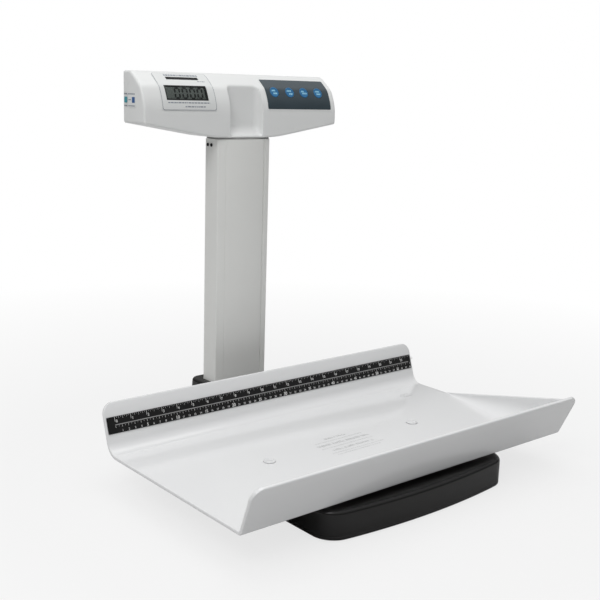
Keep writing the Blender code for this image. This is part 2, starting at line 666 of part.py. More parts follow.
def channel_tool(name, grow):
    """The space in front of the channel's floor; grow moves its walls into the head."""
    low = HEAD_LOW_Z + 2 * MM - grow
    bend_top = HEAD_LOW_Z + 2 * MM + CHANNEL_SCOOP
    bend_shares = (0.94, 0.8, 0.55, 0.25, 0.0)
    levels = [low] + [bend_top - CHANNEL_SCOOP * share for share in bend_shares] + [600 * MM]
    half = CHANNEL_HALF_WIDTH + grow
    flat = CHANNEL_HALF_WIDTH - CHANNEL_FILLET
    rings = []
    for z in levels:
        below = min(max(bend_top - z, 0.0), CHANNEL_SCOOP)
        forward = CHANNEL_SCOOP - math.sqrt(CHANNEL_SCOOP ** 2 - below ** 2)
        floor = CHANNEL_FLOOR_Y + grow - forward
        radius = CHANNEL_FILLET + grow
        ring = [(-half, 150 * MM, z), (half, 150 * MM, z)]
        for side in (1, -1):
            corner = []
            for i in range(5):
                angle = math.pi / 2 * i / 4
                corner.append((side * (flat + radius * math.cos(angle)),
                               floor - radius * (1 - math.sin(angle)), z))
            ring += corner if side > 0 else list(reversed(corner))
        rings.append(ring)
    return loft(name, rings)


def head_front(mat):
    outline = [(HEAD_SEAM_Y, HEAD_TOP_Z)] + HEAD_FRONT + [(HEAD_SEAM_Y, HEAD_LOW_Z)]
    housing = prism_x("head_front_housing", outline, -HEAD_HALF_LENGTH, HEAD_HALF_LENGTH, mat)
    cut(housing, *taper_tools("housing"))
    cut(housing, channel_tool("channel_tool", 0.0))

    inner_half = HEAD_HALF_LENGTH - HEAD_WALL
    hollow = prism_x("hollow_tool", head_inner_outline(HEAD_SEAM_Y + 5 * MM), -inner_half, inner_half)
    cut(hollow, *taper_tools("hollow", HEAD_WALL, 5 * MM))
    cut(hollow, channel_tool("channel_wall_tool", HEAD_WALL))
    cut(housing, hollow)

    cut(housing, box("neck_slot_tool", (-32 * MM, 204.5 * MM, 465 * MM), (32 * MM, 221.5 * MM, 480 * MM)))
    grow = 0.4 * MM
    left, right, low, high = WINDOW
    cut(housing, head_patch("window_tool", (left - grow, right + grow, low - grow, high + grow),
                            -6 * MM, 4 * MM, None))
    for i, x in enumerate(KEY_XS):
        point, normal = head_front_point(KEY_Z, -5 * MM)
        cut(housing, rod("key_bore_%d" % i, (x, *point), (0, *normal),
                         [(0, KEY_RADIUS + grow), (9 * MM, KEY_RADIUS + grow)]))
    return housing


def head_rear(mat):
    bevel = 3 * MM
    back = HEAD_REAR_Y
    seam = HEAD_SEAM_Y + GAP
    outline = [(seam, HEAD_TOP_Z), (seam, HEAD_LOW_Z), (back - bevel, HEAD_LOW_Z),
               (back, HEAD_LOW_Z + bevel), (back, HEAD_TOP_Z - bevel), (back - bevel, HEAD_TOP_Z)]
    cover = prism_x("head_rear_cover", outline, -HEAD_HALF_LENGTH, HEAD_HALF_LENGTH, mat)
    cut(cover, *taper_tools("cover"))
    inner_half = HEAD_HALF_LENGTH - HEAD_WALL
    hollow = box("cover_hollow_tool", (-inner_half, 200 * MM, HEAD_LOW_Z + HEAD_WALL),
                 (inner_half, back - HEAD_REAR_WALL, HEAD_TOP_Z - HEAD_WALL))
    cut(hollow, *taper_tools("cover_hollow", HEAD_WALL, 5 * MM))
    cut(cover, hollow)

    left, right, _, high = DOOR
    cut(cover, box("door_recess_tool", (left - GAP, back - DOOR_THICKNESS - GAP, 460 * MM),
                   (right + GAP, back + 5 * MM, high + GAP)))
    cut(cover, box("battery_opening_tool", (-55.5 * MM, 230 * MM, 481 * MM),
                   (55.5 * MM, 250 * MM, 517 * MM)))
    cut(cover, rod("jack_bore", (*JACK_PLACE[:1], 225 * MM, JACK_PLACE[2]), (0, 1, 0),
                   [(0, 5.6 * MM), (25 * MM, 5.6 * MM)]))
    for i, (x, z) in enumerate(HEAD_SCREW_PLACES):
        cut(cover, rod("screw_bore_%d" % i, (x, 235 * MM, z), (0, 1, 0),
                       [(0, SCREW_BORE_RADIUS), (6.6 * MM, SCREW_BORE_RADIUS),
                        (6.6 * MM, 3.4 * MM), (12 * MM, 3.4 * MM)], sides=12))
    return cover


def head_screws(mat):
    for i, (x, z) in enumerate(HEAD_SCREW_PLACES):
        rod("head_screw_%d" % (i + 1), (x, 228 * MM, z), (0, 1, 0),
            [(0, 1.5 * MM), (13.9 * MM, 1.5 * MM), (13.9 * MM, 3 * MM), (15.4 * MM, 3 * MM)], mat, sides=12)


def power_inlet(mat):
    """Barrel socket for the mains adapter."""
    socket = rod("power_inlet", JACK_PLACE, (0, 1, 0),
                 [(0, 5.2 * MM), (12.6 * MM, 5.2 * MM)], mat, sides=16)
    cut(socket, rod("inlet_bore", (JACK_PLACE[0], 235 * MM, JACK_PLACE[2]), (0, 1, 0),
                    [(0, INLET_BORE_RADIUS), (12 * MM, INLET_BORE_RADIUS)]))
    return socket


def display(mats):
    panel = head_patch("display_panel", PANEL, GAP, GAP + SKIN, mats["panel"])
    grow = 0.3 * MM
    left, right, low, high = WINDOW
    cut(panel, head_patch("panel_hole_tool", (left - grow, right + grow, low - grow, high + grow),
                          -2 * MM, 4 * MM, None))
    head_patch("lcd_window", WINDOW, -1.4 * MM, 0.5 * MM, mats["glass"])
    head_patch("lcd_module", (left - 5 * MM, right + 5 * MM, low - 4 * MM, high + 4 * MM),
               -7.5 * MM, -3 * MM, mats["module"])
    box("main_board", (-166 * MM, 211.5 * MM, 500 * MM), (-45.5 * MM, 213.1 * MM, 552 * MM), mats["board"])


def keypad(mats):
    overlay = head_patch("keypad_overlay", KEYPAD, GAP, GAP + SKIN, mats["keypad"])
    for i, x in enumerate(KEY_XS):
        point, normal = head_front_point(KEY_Z, -3 * MM)
        cut(overlay, rod("overlay_bore_%d" % i, (x, *point), (0, *normal),
                         [(0, KEY_RADIUS + 0.4 * MM), (8 * MM, KEY_RADIUS + 0.4 * MM)]))
        place, _ = head_front_point(KEY_Z, 0.9 * MM)
        rod("key_%d" % (i + 1), (x, *place), (0, *(-normal)),
            [(0, KEY_RADIUS - 0.5 * MM), (0.4 * MM, KEY_RADIUS), (2.5 * MM, KEY_RADIUS)],
            mats["key"], (x, *place))
    head_patch("keypad_board", (45 * MM, 168 * MM, 524 * MM, 556 * MM), -4.8 * MM, -3.2 * MM, mats["board"])


def batteries(mats):
    holder = box("battery_box", (-56.5 * MM, 222.3 * MM, 480.2 * MM), (56.5 * MM, 239.0 * MM, 517.8 * MM),
                 mats["black_plastic"])
    cut(holder, box("battery_pocket_tool", (-54.5 * MM, 223.8 * MM, 482 * MM),
                    (54.5 * MM, 245 * MM, 516 * MM)))
    number = 0
    for z in BATTERY_ROWS:
        for side in (-1, 1):
            number += 1
            start = (side * (BATTERY_LENGTH / 2 + 2 * MM) - BATTERY_LENGTH / 2, BATTERY_Y, z)
            tip = BATTERY_LENGTH - 1.2 * MM
            rod("battery_%d" % number, start, (1, 0, 0),
                [(0, BATTERY_RADIUS), (tip, BATTERY_RADIUS), (tip, 2.7 * MM), (BATTERY_LENGTH, 2.7 * MM)],
                mats["battery"], sides=16)
    left, right, low, high = DOOR
    back = HEAD_REAR_Y
    front = back - DOOR_THICKNESS
    place = ((left + right) / 2, (front + back) / 2, (low + high) / 2)
    box("battery_door", (left, front, low), (right, back, high), mats["white_plastic"], place)


def side_label(mat):
    """Small printed plate on the head's left end."""
    x = -HEAD_HALF_LENGTH
    box("side_label", (x - GAP - SKIN, 208 * MM, 515 * MM), (x - GAP, 227.5 * MM, 536 * MM), mat)


# ---------------------------------------------------------------- assembly

def parented(items, name, place):
    """Put pieces that move together under an empty on their joint's axis."""
    empty = bpy.data.objects.new(name, None)
    empty.location = place
    bpy.context.scene.collection.objects.link(empty)
    for item in items:
        item.parent = empty
        item.location = Vector(item.location) - Vector(place)


def materials():
    return {
        "white_enamel": material("white_enamel", (0.80, 0.81, 0.81), 0.22),
        "white_plastic": material("white_plastic", (0.82, 0.83, 0.82), 0.35),
        "black_plastic": material("black_plastic", (0.018, 0.018, 0.019), 0.42),
        "grey_paint": material("grey_paint", (0.56, 0.57, 0.56), 0.40),
        "rubber": material("rubber", (0.03, 0.03, 0.03), 0.85),
        "steel": material("steel", (0.56, 0.57, 0.58), 0.35, 1.0),
        "aluminium": material("aluminium", (0.72, 0.73, 0.74), 0.38, 1.0),
        "black_screw": material("black_screw", (0.02, 0.02, 0.02), 0.40, 1.0),
        "cap": material("cap", (0.66, 0.67, 0.67), 0.45),
        "ruler": material("ruler", (0.02, 0.02, 0.022), 0.38),
        "panel": material("panel", (0.72, 0.73, 0.72), 0.45),
        "glass": material("glass", (0.16, 0.19, 0.18), 0.12),
        "module": material("module", (0.35, 0.40, 0.36), 0.40),
        "board": material("board", (0.02, 0.15, 0.06), 0.50),
        "keypad": material("keypad", (0.035, 0.055, 0.07), 0.35),
        "key": material("key", (0.02, 0.24, 0.45), 0.35),
        "battery": material("battery", (0.55, 0.45, 0.12), 0.35, 0.5),
        "cable": material("cable", (0.05, 0.05, 0.05), 0.60),
    }


def build():
    clear_scene()
    mats = materials()
    platform = (0, TRAY_SCREW_Y, SPIDER_LOW_Z)

    moving = [tray_pan(mats["white_enamel"], platform), ruler_strip(mats["ruler"], platform),
              spider(mats["aluminium"], platform)]
    moving += tray_fasteners(mats, platform)
    moving += tray_pads(mats["rubber"], platform)
    upper_spacer = cell_spacers(mats["steel"], platform)
    parented(moving + [upper_spacer], "platform_axis", platform)

    base_cover(mats["black_plastic"])
    base_plate(mats["steel"])
    levelling_feet(mats["rubber"])
    load_cell(mats["aluminium"])
    overload_stops(mats["steel"])

    column_boot(mats["black_plastic"])
    column_front(mats["grey_paint"])
    column_rear(mats["grey_paint"])
    column_gasket(mats["rubber"])
    foot_bracket(mats["steel"])
    head_bracket(mats["aluminium"])
    column_screws(mats["black_screw"])
    signal_cable(mats["cable"])

    head_front(mats["white_plastic"])
    head_rear(mats["white_plastic"])
    head_screws(mats["steel"])
    power_inlet(mats["black_plastic"])
    display(mats)
    keypad(mats)
    batteries(mats)
    side_label(mats["panel"])


build()
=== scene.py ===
"""Looks of the digital tray scale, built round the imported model, in the CAD's frame.

Shapes are worked out in millimetres: box_of() turns the CAD's metres into them, and solid_mesh() turns
them back. Materials, lights and the camera are in metres."""
import math
import random

import bmesh
import bpy
from mathutils import Matrix, Vector

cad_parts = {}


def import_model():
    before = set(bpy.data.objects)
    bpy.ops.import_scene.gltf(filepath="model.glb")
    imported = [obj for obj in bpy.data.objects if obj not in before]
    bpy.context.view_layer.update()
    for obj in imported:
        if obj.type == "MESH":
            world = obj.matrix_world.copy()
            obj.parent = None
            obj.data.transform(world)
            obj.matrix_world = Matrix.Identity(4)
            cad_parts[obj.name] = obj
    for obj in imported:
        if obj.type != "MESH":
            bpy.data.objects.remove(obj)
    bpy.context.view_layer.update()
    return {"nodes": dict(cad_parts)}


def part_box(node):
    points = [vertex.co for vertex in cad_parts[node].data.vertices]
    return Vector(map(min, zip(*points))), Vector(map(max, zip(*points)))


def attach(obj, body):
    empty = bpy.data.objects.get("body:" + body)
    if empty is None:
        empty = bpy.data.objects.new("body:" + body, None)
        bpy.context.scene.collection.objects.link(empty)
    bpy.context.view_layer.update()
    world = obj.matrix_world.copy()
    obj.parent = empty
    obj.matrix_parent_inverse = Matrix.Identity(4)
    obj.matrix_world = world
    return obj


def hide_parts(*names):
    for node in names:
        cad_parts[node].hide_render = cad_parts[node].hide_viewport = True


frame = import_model()

MM = 0.001
scene = bpy.context.scene
scene.view_settings.view_transform = "Standard"
scene.view_settings.look = "None"


def box_of(name):
    """The two corners of a CAD node's box, in millimetres."""
    return [Vector(corner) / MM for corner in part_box(name)]


TRAY_LOW = box_of("tray_pan")[0]
RULER_LOW, RULER_HIGH = box_of("ruler_strip")
BASE_LOW, BASE_HIGH = box_of("base_cover")
BOOT_LOW, BOOT_HIGH = box_of("column_boot")
COLUMN_LOW, COLUMN_HIGH = box_of("column_front")
HEAD_LOW, HEAD_HIGH = box_of("head_front_housing")
REAR_LOW, REAR_HIGH = box_of("head_rear_cover")
PANEL_LOW, PANEL_HIGH = box_of("display_panel")
WINDOW_LOW, WINDOW_HIGH = box_of("lcd_window")
KEYPAD_LOW, KEYPAD_HIGH = box_of("keypad_overlay")
DOOR_LOW, DOOR_HIGH = box_of("battery_door")
INLET_LOW, INLET_HIGH = box_of("power_inlet")

# tray section, as in the CAD
TRAY_HALF = 301
TRAY_SHEET = 5
TRAY_UNDERSIDE = TRAY_LOW.z
TRAY_FLOOR = TRAY_UNDERSIDE + TRAY_SHEET
LIP_TOP = Vector((-250, 111))
FRONT_CORNER = Vector((-222, TRAY_UNDERSIDE))
REAR_CORNER = Vector((84, TRAY_UNDERSIDE))
WALL_TOP = Vector((107, 116))
LIP_FLARE = 4
TRAY_CORNER = 17
TRAY_EDGE = 1.7
STRIP_BOTTOM, STRIP_TOP = 75.5, 97.7
STRIP_FACE = 1.1
STRIP_INK = 0.06
INCH = 25.4
GUARD_REAR_Y = 6
GUARD_LEAN = 2.6
SCREW_X = 139
SCREW_Y = -68

# head section: points of the front's smooth curve, as (y, z), from the seam at the top to its upright part
HEAD_CURVE = [(229, 568), (226, 568), (222.5, 567.2), (217, 563.8), (210, 558.8), (203, 553), (196, 546.6),
              (190.8, 536.8), (187, 527), (184.8, 517), (184.05, 508), (184, 500)]
HEAD_HALF = HEAD_HIGH.x
HEAD_TOP = HEAD_HIGH.z
HEAD_BOTTOM = HEAD_LOW.z
END_BOTTOM = 492.6
FLAT_HALF = 59
SEAM_Y = HEAD_HIGH.y
CHANNEL_HALF = 31.5
CHANNEL_Y = 200
CHANNEL_FILLET = 10
CHANNEL_SCOOP = 18
KEY_XS = [sum(corner.x for corner in box_of("key_%d" % i)) / 2 for i in range(1, 5)]
KEY_Z = 542
KEY_RADIUS = 8.5
FILM_FACE = 0.7
PANEL_BOTTOM, PANEL_TOP = 512.5, 565.5
LCD_BOTTOM, LCD_TOP = 527.5, 548.2
KEYPAD_BOTTOM, KEYPAD_TOP = 516, 560.5

# column plan
COLUMN_FRONT = 190
COLUMN_BOW = 7.5
GROOVE_X = 36.5
SECOND_GROOVE_X = GROOVE_X + 3.4
COLUMN_SCREW_ROWS = (("front", 207), ("rear", 216.5))
COLUMN_SCREW_Z = 460

SIDES = ((-1, "left"), (1, "right"))
UP = (0, 0, 1)
BACKWARDS = (0, 1, 0)


# ---- materials

WAVE_SCALE = 320
DUST_COLOUR = (0.46, 0.45, 0.43, 1)


def fill(tree, socket, value):
    """Give a socket its value, or link it where the value is another node's output."""
    if isinstance(value, bpy.types.NodeSocket):
        tree.links.new(value, socket)
    else:
        socket.default_value = value


def node(tree, kind, inputs=None, **values):
    """A shader node; 'inputs' fills its sockets and the other keywords set its properties."""
    made = tree.nodes.new(kind)
    for key, value in values.items():
        setattr(made, key, value)
    for socket, value in (inputs or {}).items():
        fill(tree, made.inputs[socket], value)
    return made


def noise(tree, scale, detail, stretch=(1, 1, 1)):
    place = node(tree, "ShaderNodeTexCoord").outputs["Object"]
    drawn = node(tree, "ShaderNodeMapping", {"Scale": stretch, "Vector": place}).outputs["Vector"]
    grain = node(tree, "ShaderNodeTexNoise", {"Scale": scale, "Detail": detail, "Vector": drawn})
    return grain.outputs["Fac"]


def mapped(tree, value, low, high, start=0.3, end=0.7):
    return node(tree, "ShaderNodeMapRange", {"Value": value, "From Min": start, "From Max": end,
                                             "To Min": low, "To Max": high}).outputs["Result"]


def mixed(tree, factor, first, second):
    """The colour between two others; each is an output or (red, green, blue, 1)."""
    return node(tree, "ShaderNodeMix", {0: factor, 6: first, 7: second}, data_type="RGBA").outputs[2]


def new_tree(mat):
    mat.use_nodes = True
    return mat.node_tree


def surface(name, colour, roughness, metallic=0.0, grain=2600, depth=0.02, mottle=0.03, spread=0.05,
            coat=0.0, waves=0.0, stretch=(1, 1, 1), dust=0.0, edge=None, cloud=14, specular=0.5):
    """A finish with clouded colour, uneven gloss, a fine grain and, where asked, dust and lighter edges that
    are partly wear and partly a painted highlight.

    grain is the number of grains per metre, depth and waves are the heights of the grain and of
    the slow unevenness in millimetres, and stretch draws the grain out along an axis."""
    mat = bpy.data.materials.new(name)
    tree = new_tree(mat)
    shader = tree.nodes["Principled BSDF"]
    shader.inputs["Metallic"].default_value = metallic
    shader.inputs["Coat Weight"].default_value = coat
    shader.inputs["Coat Roughness"].default_value = 0.08
    shader.inputs["Specular IOR Level"].default_value = specular

    light = (*(min(1.0, c * (1 + mottle)) for c in colour), 1)
    dark = (*(c * (1 - mottle) for c in colour), 1)
    paint = mixed(tree, mapped(tree, noise(tree, cloud, 5.0), 0, 1), dark, light)
    if dust:
        paint = dusted(tree, paint, dust)
    # lighter convex edges: partly wear, partly a painted highlight
    if edge:
        paint = rubbed(tree, paint, edge)
    fill(tree, shader.inputs["Base Color"], paint)

    gloss = mapped(tree, noise(tree, cloud * 5, 4.0, stretch), roughness - spread, roughness + spread)
    fill(tree, shader.inputs["Roughness"], gloss)

    fine = noise(tree, grain, 2.0, stretch)
    bump = node(tree, "ShaderNodeBump", {"Strength": 0.6, "Distance": depth * MM, "Height": fine})
    if waves:
        bump = node(tree, "ShaderNodeBump", {"Strength": 0.5, "Distance": waves * MM,
                                             "Height": noise(tree, WAVE_SCALE, 1.0),
                                             "Normal": bump.outputs["Normal"]})
    fill(tree, shader.inputs["Normal"], bump.outputs["Normal"])
    return mat


def dusted(tree, paint, amount):
    """Thin dust, in patches, on what faces up."""
    facing = node(tree, "ShaderNodeNewGeometry").outputs["Normal"]
    height = node(tree, "ShaderNodeSeparateXYZ", {"Vector": facing}).outputs["Z"]
    upward = mapped(tree, height, 0, amount, 0.3, 1.0)
    patch = node(tree, "ShaderNodeMath", {0: upward, 1: mapped(tree, noise(tree, 45, 6.0), 0.2, 1.0)},
                 operation="MULTIPLY")
    return mixed(tree, patch.outputs["Value"], paint, DUST_COLOUR)


def rubbed(tree, paint, colour):
    """Convex edges a little lighter, found by pointiness: partly wear from hands and cloths, partly a painted
    highlight.
    """
    pointed = node(tree, "ShaderNodeNewGeometry").outputs["Pointiness"]
    return mixed(tree, mapped(tree, pointed, 0, 0.55, 0.51, 0.60), paint, (*colour, 1))


def glass(name, colour, roughness, alpha):
    mat = surface(name, colour, roughness, grain=900, depth=0.002, mottle=0.02, spread=0.02, specular=0.2)
    shader = mat.node_tree.nodes["Principled BSDF"]
    shader.inputs["Alpha"].default_value = alpha
    return mat


def printed(name, colour, roughness, mottle, cloud, depth=0.004, **more):
    """Ink and other thin, even layers."""
    return surface(name, colour, roughness, grain=3000, depth=depth, mottle=mottle, cloud=cloud, **more)


MATS = {
    "tray": surface("tray_enamel", (0.76, 0.765, 0.77), 0.17, grain=1500, depth=0.006, mottle=0.012,
                    spread=0.035, coat=0.25, waves=0.012, stretch=(0.25, 1, 1), cloud=5),
    "head": surface("head_plastic", (0.755, 0.765, 0.76), 0.34, grain=2400, depth=0.022, mottle=0.014,
                    spread=0.05, cloud=9),
    "column": surface("column_paint", (0.76, 0.765, 0.745), 0.34, grain=1700, depth=0.018, mottle=0.02,
                      spread=0.06, waves=0.02, cloud=7),
    "base": surface("base_plastic", (0.0064, 0.0060, 0.0058), 0.25, grain=1700, depth=0.0006, mottle=0.05,
                    spread=0.02, cloud=22, specular=0.36),
    "rubber": surface("rubber", (0.018, 0.018, 0.019), 0.75, grain=1300, depth=0.06, mottle=0.15,
                      spread=0.08, dust=0.03, cloud=40),
    "steel": surface("zinc_steel", (0.55, 0.56, 0.57), 0.36, 1.0, grain=900, depth=0.012, mottle=0.10,
                     spread=0.10, stretch=(1, 0.06, 1), cloud=30),
    "aluminium": surface("milled_aluminium", (0.66, 0.67, 0.68), 0.34, 1.0, grain=1400, depth=0.010,
                         mottle=0.05, spread=0.08, stretch=(0.05, 1, 1), cloud=20),
    # the screws' lighter edges are partly wear and partly a painted highlight
    "black_screw": surface("black_oxide", (0.022, 0.022, 0.024), 0.38, 0.6, depth=0.01,
                           mottle=0.2, spread=0.1, edge=(0.12, 0.12, 0.12), cloud=300),
    "cap": surface("cap_plastic", (0.68, 0.685, 0.69), 0.38, mottle=0.03, cloud=60),
    "ruler": surface("ruler_black", (0.007, 0.007, 0.0073), 0.42, depth=0.008, mottle=0.15,
                     spread=0.06, cloud=25, specular=0.25),
    "mark": printed("mark_white", (0.66, 0.66, 0.65), 0.45, 0.06, 120),
    "mark_grey": printed("mark_grey", (0.30, 0.30, 0.30), 0.45, 0.08, 120),
    "print": printed("print_grey", (0.25, 0.27, 0.31), 0.40, 0.10, 150, 0.003),
    "panel": surface("panel_film", (0.70, 0.715, 0.71), 0.40, grain=2800, depth=0.006, mottle=0.012,
                     cloud=30),
    "outline": printed("outline_ink", (0.20, 0.215, 0.25), 0.42, 0.06, 90),
    "ink": printed("black_ink", (0.008, 0.008, 0.009), 0.50, 0.15, 90, specular=0.15),
    "bezel": surface("bezel", (0.013, 0.015, 0.014), 0.38, depth=0.006, mottle=0.10, cloud=60,
                     specular=0.3),
    "lcd": surface("lcd_face", (0.105, 0.122, 0.112), 0.30, depth=0.002, mottle=0.04, cloud=45,
                   specular=0.3),
    "segment": surface("lcd_segment", (0.010, 0.012, 0.011), 0.40, depth=0.002, mottle=0.08,
                       cloud=90, specular=0.2),
    "window": glass("window_plastic", (0.06, 0.07, 0.068), 0.12, 0.10),
    "keypad": surface("keypad_film", (0.030, 0.048, 0.060), 0.36, grain=3000, depth=0.020, mottle=0.06,
                      spread=0.05, cloud=40),
    "key": printed("key_blue", (0.008, 0.135, 0.32), 0.34, 0.05, 90, 0.014),
    "key_mark": printed("key_mark", (0.30, 0.62, 0.78), 0.40, 0.05, 150),
    "notice": printed("notice_grey", (0.42, 0.425, 0.43), 0.30, 0.06, 150, 0.003),
    # a real seal, but its grey is set lighter than black rubber so it reads as the soft shadow line at the
    # column's top: painted shade
    "seal_shadow_tone": surface("seal_rubber_shadow_tone", (0.32, 0.32, 0.315), 0.70, grain=1300, depth=0.04, mottle=0.12, cloud=60),
    "teal": printed("label_teal", (0.06, 0.30, 0.36), 0.42, 0.06, 120),
    "navy": printed("label_navy", (0.035, 0.11, 0.30), 0.42, 0.06, 120),
    "inlet": surface("inlet_plastic", (0.015, 0.015, 0.016), 0.40, mottle=0.1, cloud=60),
    "board": surface("circuit_board", (0.012, 0.12, 0.045), 0.38, grain=900, depth=0.03, mottle=0.3,
                     cloud=160),
    "battery": surface("battery_sleeve", (0.50, 0.36, 0.07), 0.28, 0.4, depth=0.006, mottle=0.06,
                       cloud=60),
    "cable": surface("cable_sheath", (0.03, 0.03, 0.032), 0.55, grain=1500, depth=0.03, mottle=0.1, cloud=60),
}


# ---- mesh helpers

def solid_mesh(name, shape):
    """A closed mesh in metres from (vertices, faces) in millimetres, with its normals outwards."""
    vertices, faces = shape
    mesh = bpy.data.meshes.new(name)
    mesh.from_pydata([Vector(v) * MM for v in vertices], [], faces)
    bm = bmesh.new()
    bm.from_mesh(mesh)
    bmesh.ops.recalc_face_normals(bm, faces=bm.faces)
    bm.to_mesh(mesh)
    bm.free()
    return mesh


def smoothed(mesh, sharp):
    """Smooth shading, with a hard edge wherever two faces meet at more than this angle."""
    mesh.shade_smooth()
    mesh.set_sharp_from_angle(angle=math.radians(sharp))


def linked(name, data):
    item = bpy.data.objects.new(name, data)
    scene.collection.objects.link(item)
    return item


def piece(name, shape, finish, nodes=(), body="root", sharp=32):
    """A closed mesh with its finish, riding on a body and standing for CAD nodes."""
    mesh = solid_mesh(name, shape)
    smoothed(mesh, sharp)
    mesh.materials.append(MATS[finish])
    item = linked(name, mesh)
    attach(item, body)
    if nodes:
        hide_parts(*nodes)
    return item


def joined(parts):
    """Vertices and faces of several (vertices, faces) pairs put together."""
    vertices, faces = [], []
    for points, loops in parts:
        start = len(vertices)
        vertices += list(points)
        faces += [tuple(start + i for i in loop) for loop in loops]
    return vertices, faces


def lofted(rings):
    """Vertices and faces of closed rings joined one after another, with both ends capped."""
    count, last = len(rings[0]), len(rings) - 1
    faces = [(k * count + i, k * count + j, (k + 1) * count + j, (k + 1) * count + i)
             for k in range(last) for i, j in ring_sides(count)]
    faces += [tuple(range(count)), tuple(last * count + i for i in range(count))]
    return [point for ring in rings for point in ring], faces


def ring_sides(count):
    """(index, next index) pairs round a closed ring."""
    return [(i, (i + 1) % count) for i in range(count)]


def upright(outline, heights):
    """A prism: a plan outline carried up from one height to another."""
    return lofted([[(x, y, z) for x, y in outline] for z in heights])


def turned(start, axis, profile, sides=40):
    """A turned solid: profile is a list of (distance along axis, radius)."""
    turn = Vector(UP).rotation_difference(Vector(axis)).to_matrix()
    angles = [2 * math.pi * i / sides for i in range(sides)]
    return lofted([[Vector(start) + turn @ Vector((radius * math.cos(a), radius * math.sin(a), along))
                    for a in angles] for along, radius in profile])


def rod(start, axis, radius, length, sides):
    return turned(start, axis, [(0, radius), (length, radius)], sides)


def arc_corner(before, corner, after, radius, steps):
    """Points of the arc that rounds a corner of a path."""
    to_before = (Vector(before) - Vector(corner)).normalized()
    to_after = (Vector(after) - Vector(corner)).normalized()
    half = to_before.angle(to_after) / 2
    centre = Vector(corner) + (to_before + to_after).normalized() * radius / math.sin(half)
    start = Vector(corner) + to_before * radius / math.tan(half) - centre
    end = Vector(corner) + to_after * radius / math.tan(half) - centre
    sweep = start.angle_signed(end)
    return [centre + Matrix.Rotation(-sweep * i / steps, 2) @ start for i in range(steps + 1)]


def rounded(corners, steps=10):
    """A closed outline from (x, y, corner radius) triples."""
    outline = []
    for i, (x, y, radius) in enumerate(corners):
        if radius:
            after = corners[(i + 1) % len(corners)]
            outline += arc_corner(corners[i - 1][:2], (x, y), after[:2], radius, steps)
        else:
            outline.append(Vector((x, y)))
    return outline


def rectangle(left, low, right, high, radius, steps):
    """A closed rectangular outline with rounded corners."""
    corners = ((left, low), (right, low), (right, high), (left, high))
    return rounded([(x, y, radius) for x, y in corners], steps)


def inset(outline, distance):
    """Move every side of a counter-clockwise outline inwards by the same distance."""
    moved = []
    for i, here in enumerate(outline):
        back = (here - outline[i - 1]).normalized()
        ahead = (outline[(i + 1) % len(outline)] - here).normalized()
        normal = Vector((-back.y, back.x))
        mitre = (normal + Vector((-ahead.y, ahead.x))).normalized()
        moved.append(here + mitre * distance / mitre.dot(normal))
    return moved


def quarter(steps):
    """(1 - cos, 1 - sin) pairs of a quarter turn: how a rounded edge runs out of one face into another."""
    turns = [math.pi / 2 * i / steps for i in range(steps + 1)]
    return [(1 - math.cos(turn), 1 - math.sin(turn)) for turn in turns]


def block(low, high):
    """A rectangular block between two corners."""
    (x0, y0, z0), (x1, y1, z1) = low, high
    return upright([(x0, y0), (x1, y0), (x1, y1), (x0, y1)], (z0, z1))


def cut(item, *tools):
    """Take each tool, (vertices, faces), out of a piece."""
    combine(item, "DIFFERENCE", *tools)


def combine(item, operation, *tools):
    """Apply one Boolean operation with each tool in turn."""
    for shape in tools:
        tool = linked("tool", solid_mesh("tool", shape))
        step = item.modifiers.new("combine", "BOOLEAN")
        step.operation = operation
        step.solver = "EXACT"
        step.object = tool
        bake(item)
        bpy.data.objects.remove(tool, do_unlink=True)


def bake(item, sharp=32):
    """Replace an object's mesh by what its modifiers make of it."""
    bpy.context.view_layer.update()
    made = bpy.data.meshes.new_from_object(item.evaluated_get(bpy.context.evaluated_depsgraph_get()))
    item.modifiers.clear()
    item.data = made
    smoothed(made, sharp)


# ---- tray

def tray_path():
    """(outer point, inward normal, half length, edge inset) along the tray's section."""
    front = arc_corner(LIP_TOP, FRONT_CORNER, REAR_CORNER, 7, 12)
    rear = arc_corner(FRONT_CORNER, REAR_CORNER, WALL_TOP, 25, 18)
    section = front + rear
    lip = (section[0] - LIP_TOP).normalized()
    lip_length = (section[0] - LIP_TOP).length
    wall = (section[-1] - WALL_TOP).normalized()
    lip_normal = Vector((-lip.y, lip.x))
    wall_normal = Vector((wall.y, -wall.x))

    downs = [(down * TRAY_CORNER, short * TRAY_CORNER) for down, short in quarter(16)]
    stations = []
    for down, short in downs:
        flare = LIP_FLARE * (1 - down / lip_length)
        stations.append((LIP_TOP + lip * down, lip_normal, TRAY_HALF + flare - short, edge_inset(down)))
    for i, point in enumerate(section):
        before = section[i - 1] if i else LIP_TOP
        after = section[i + 1] if i + 1 < len(section) else WALL_TOP
        along = (after - point).normalized() + (point - before).normalized()
        normal = Vector((-along.y, along.x)).normalized()
        stations.append((point, normal, TRAY_HALF, 0.0))
    for down, short in reversed(downs):
        stations.append((WALL_TOP + wall * down, wall_normal, TRAY_HALF - short, edge_inset(down)))
    return stations


def edge_inset(down):
    """How much the sheet thins where its top edge is rounded, at this distance below the edge."""
    if down >= TRAY_EDGE:
        return 0.0
    return TRAY_EDGE - math.sqrt(TRAY_EDGE ** 2 - (TRAY_EDGE - down) ** 2)


def sheet_ring(point, normal, half, thin):
    """A slice across the tray's sheet with rounded ends."""
    ring = []
    steps = quarter(5)
    for side, face in ((-1, 0), (1, 0), (1, 1), (-1, 1)):
        corner = [(side * (half - TRAY_EDGE * out), TRAY_EDGE * back) for back, out in steps]
        if (side > 0) != (face == 0):
            corner.reverse()
        for x, depth in corner:
            depth = max(depth, thin)
            place = point + normal * (TRAY_SHEET - depth if face else depth)
            ring.append((x, place.x, place.y))
    return ring


def tray_pan():
    sheet = lofted([sheet_ring(*station) for station in tray_path()])
    pan = piece("tray_sheet", sheet, "tray", ["tray_pan"], body="platform", sharp=50)
    combine(pan, "UNION", guard())
    pan.data.set_sharp_from_angle(angle=math.radians(50))


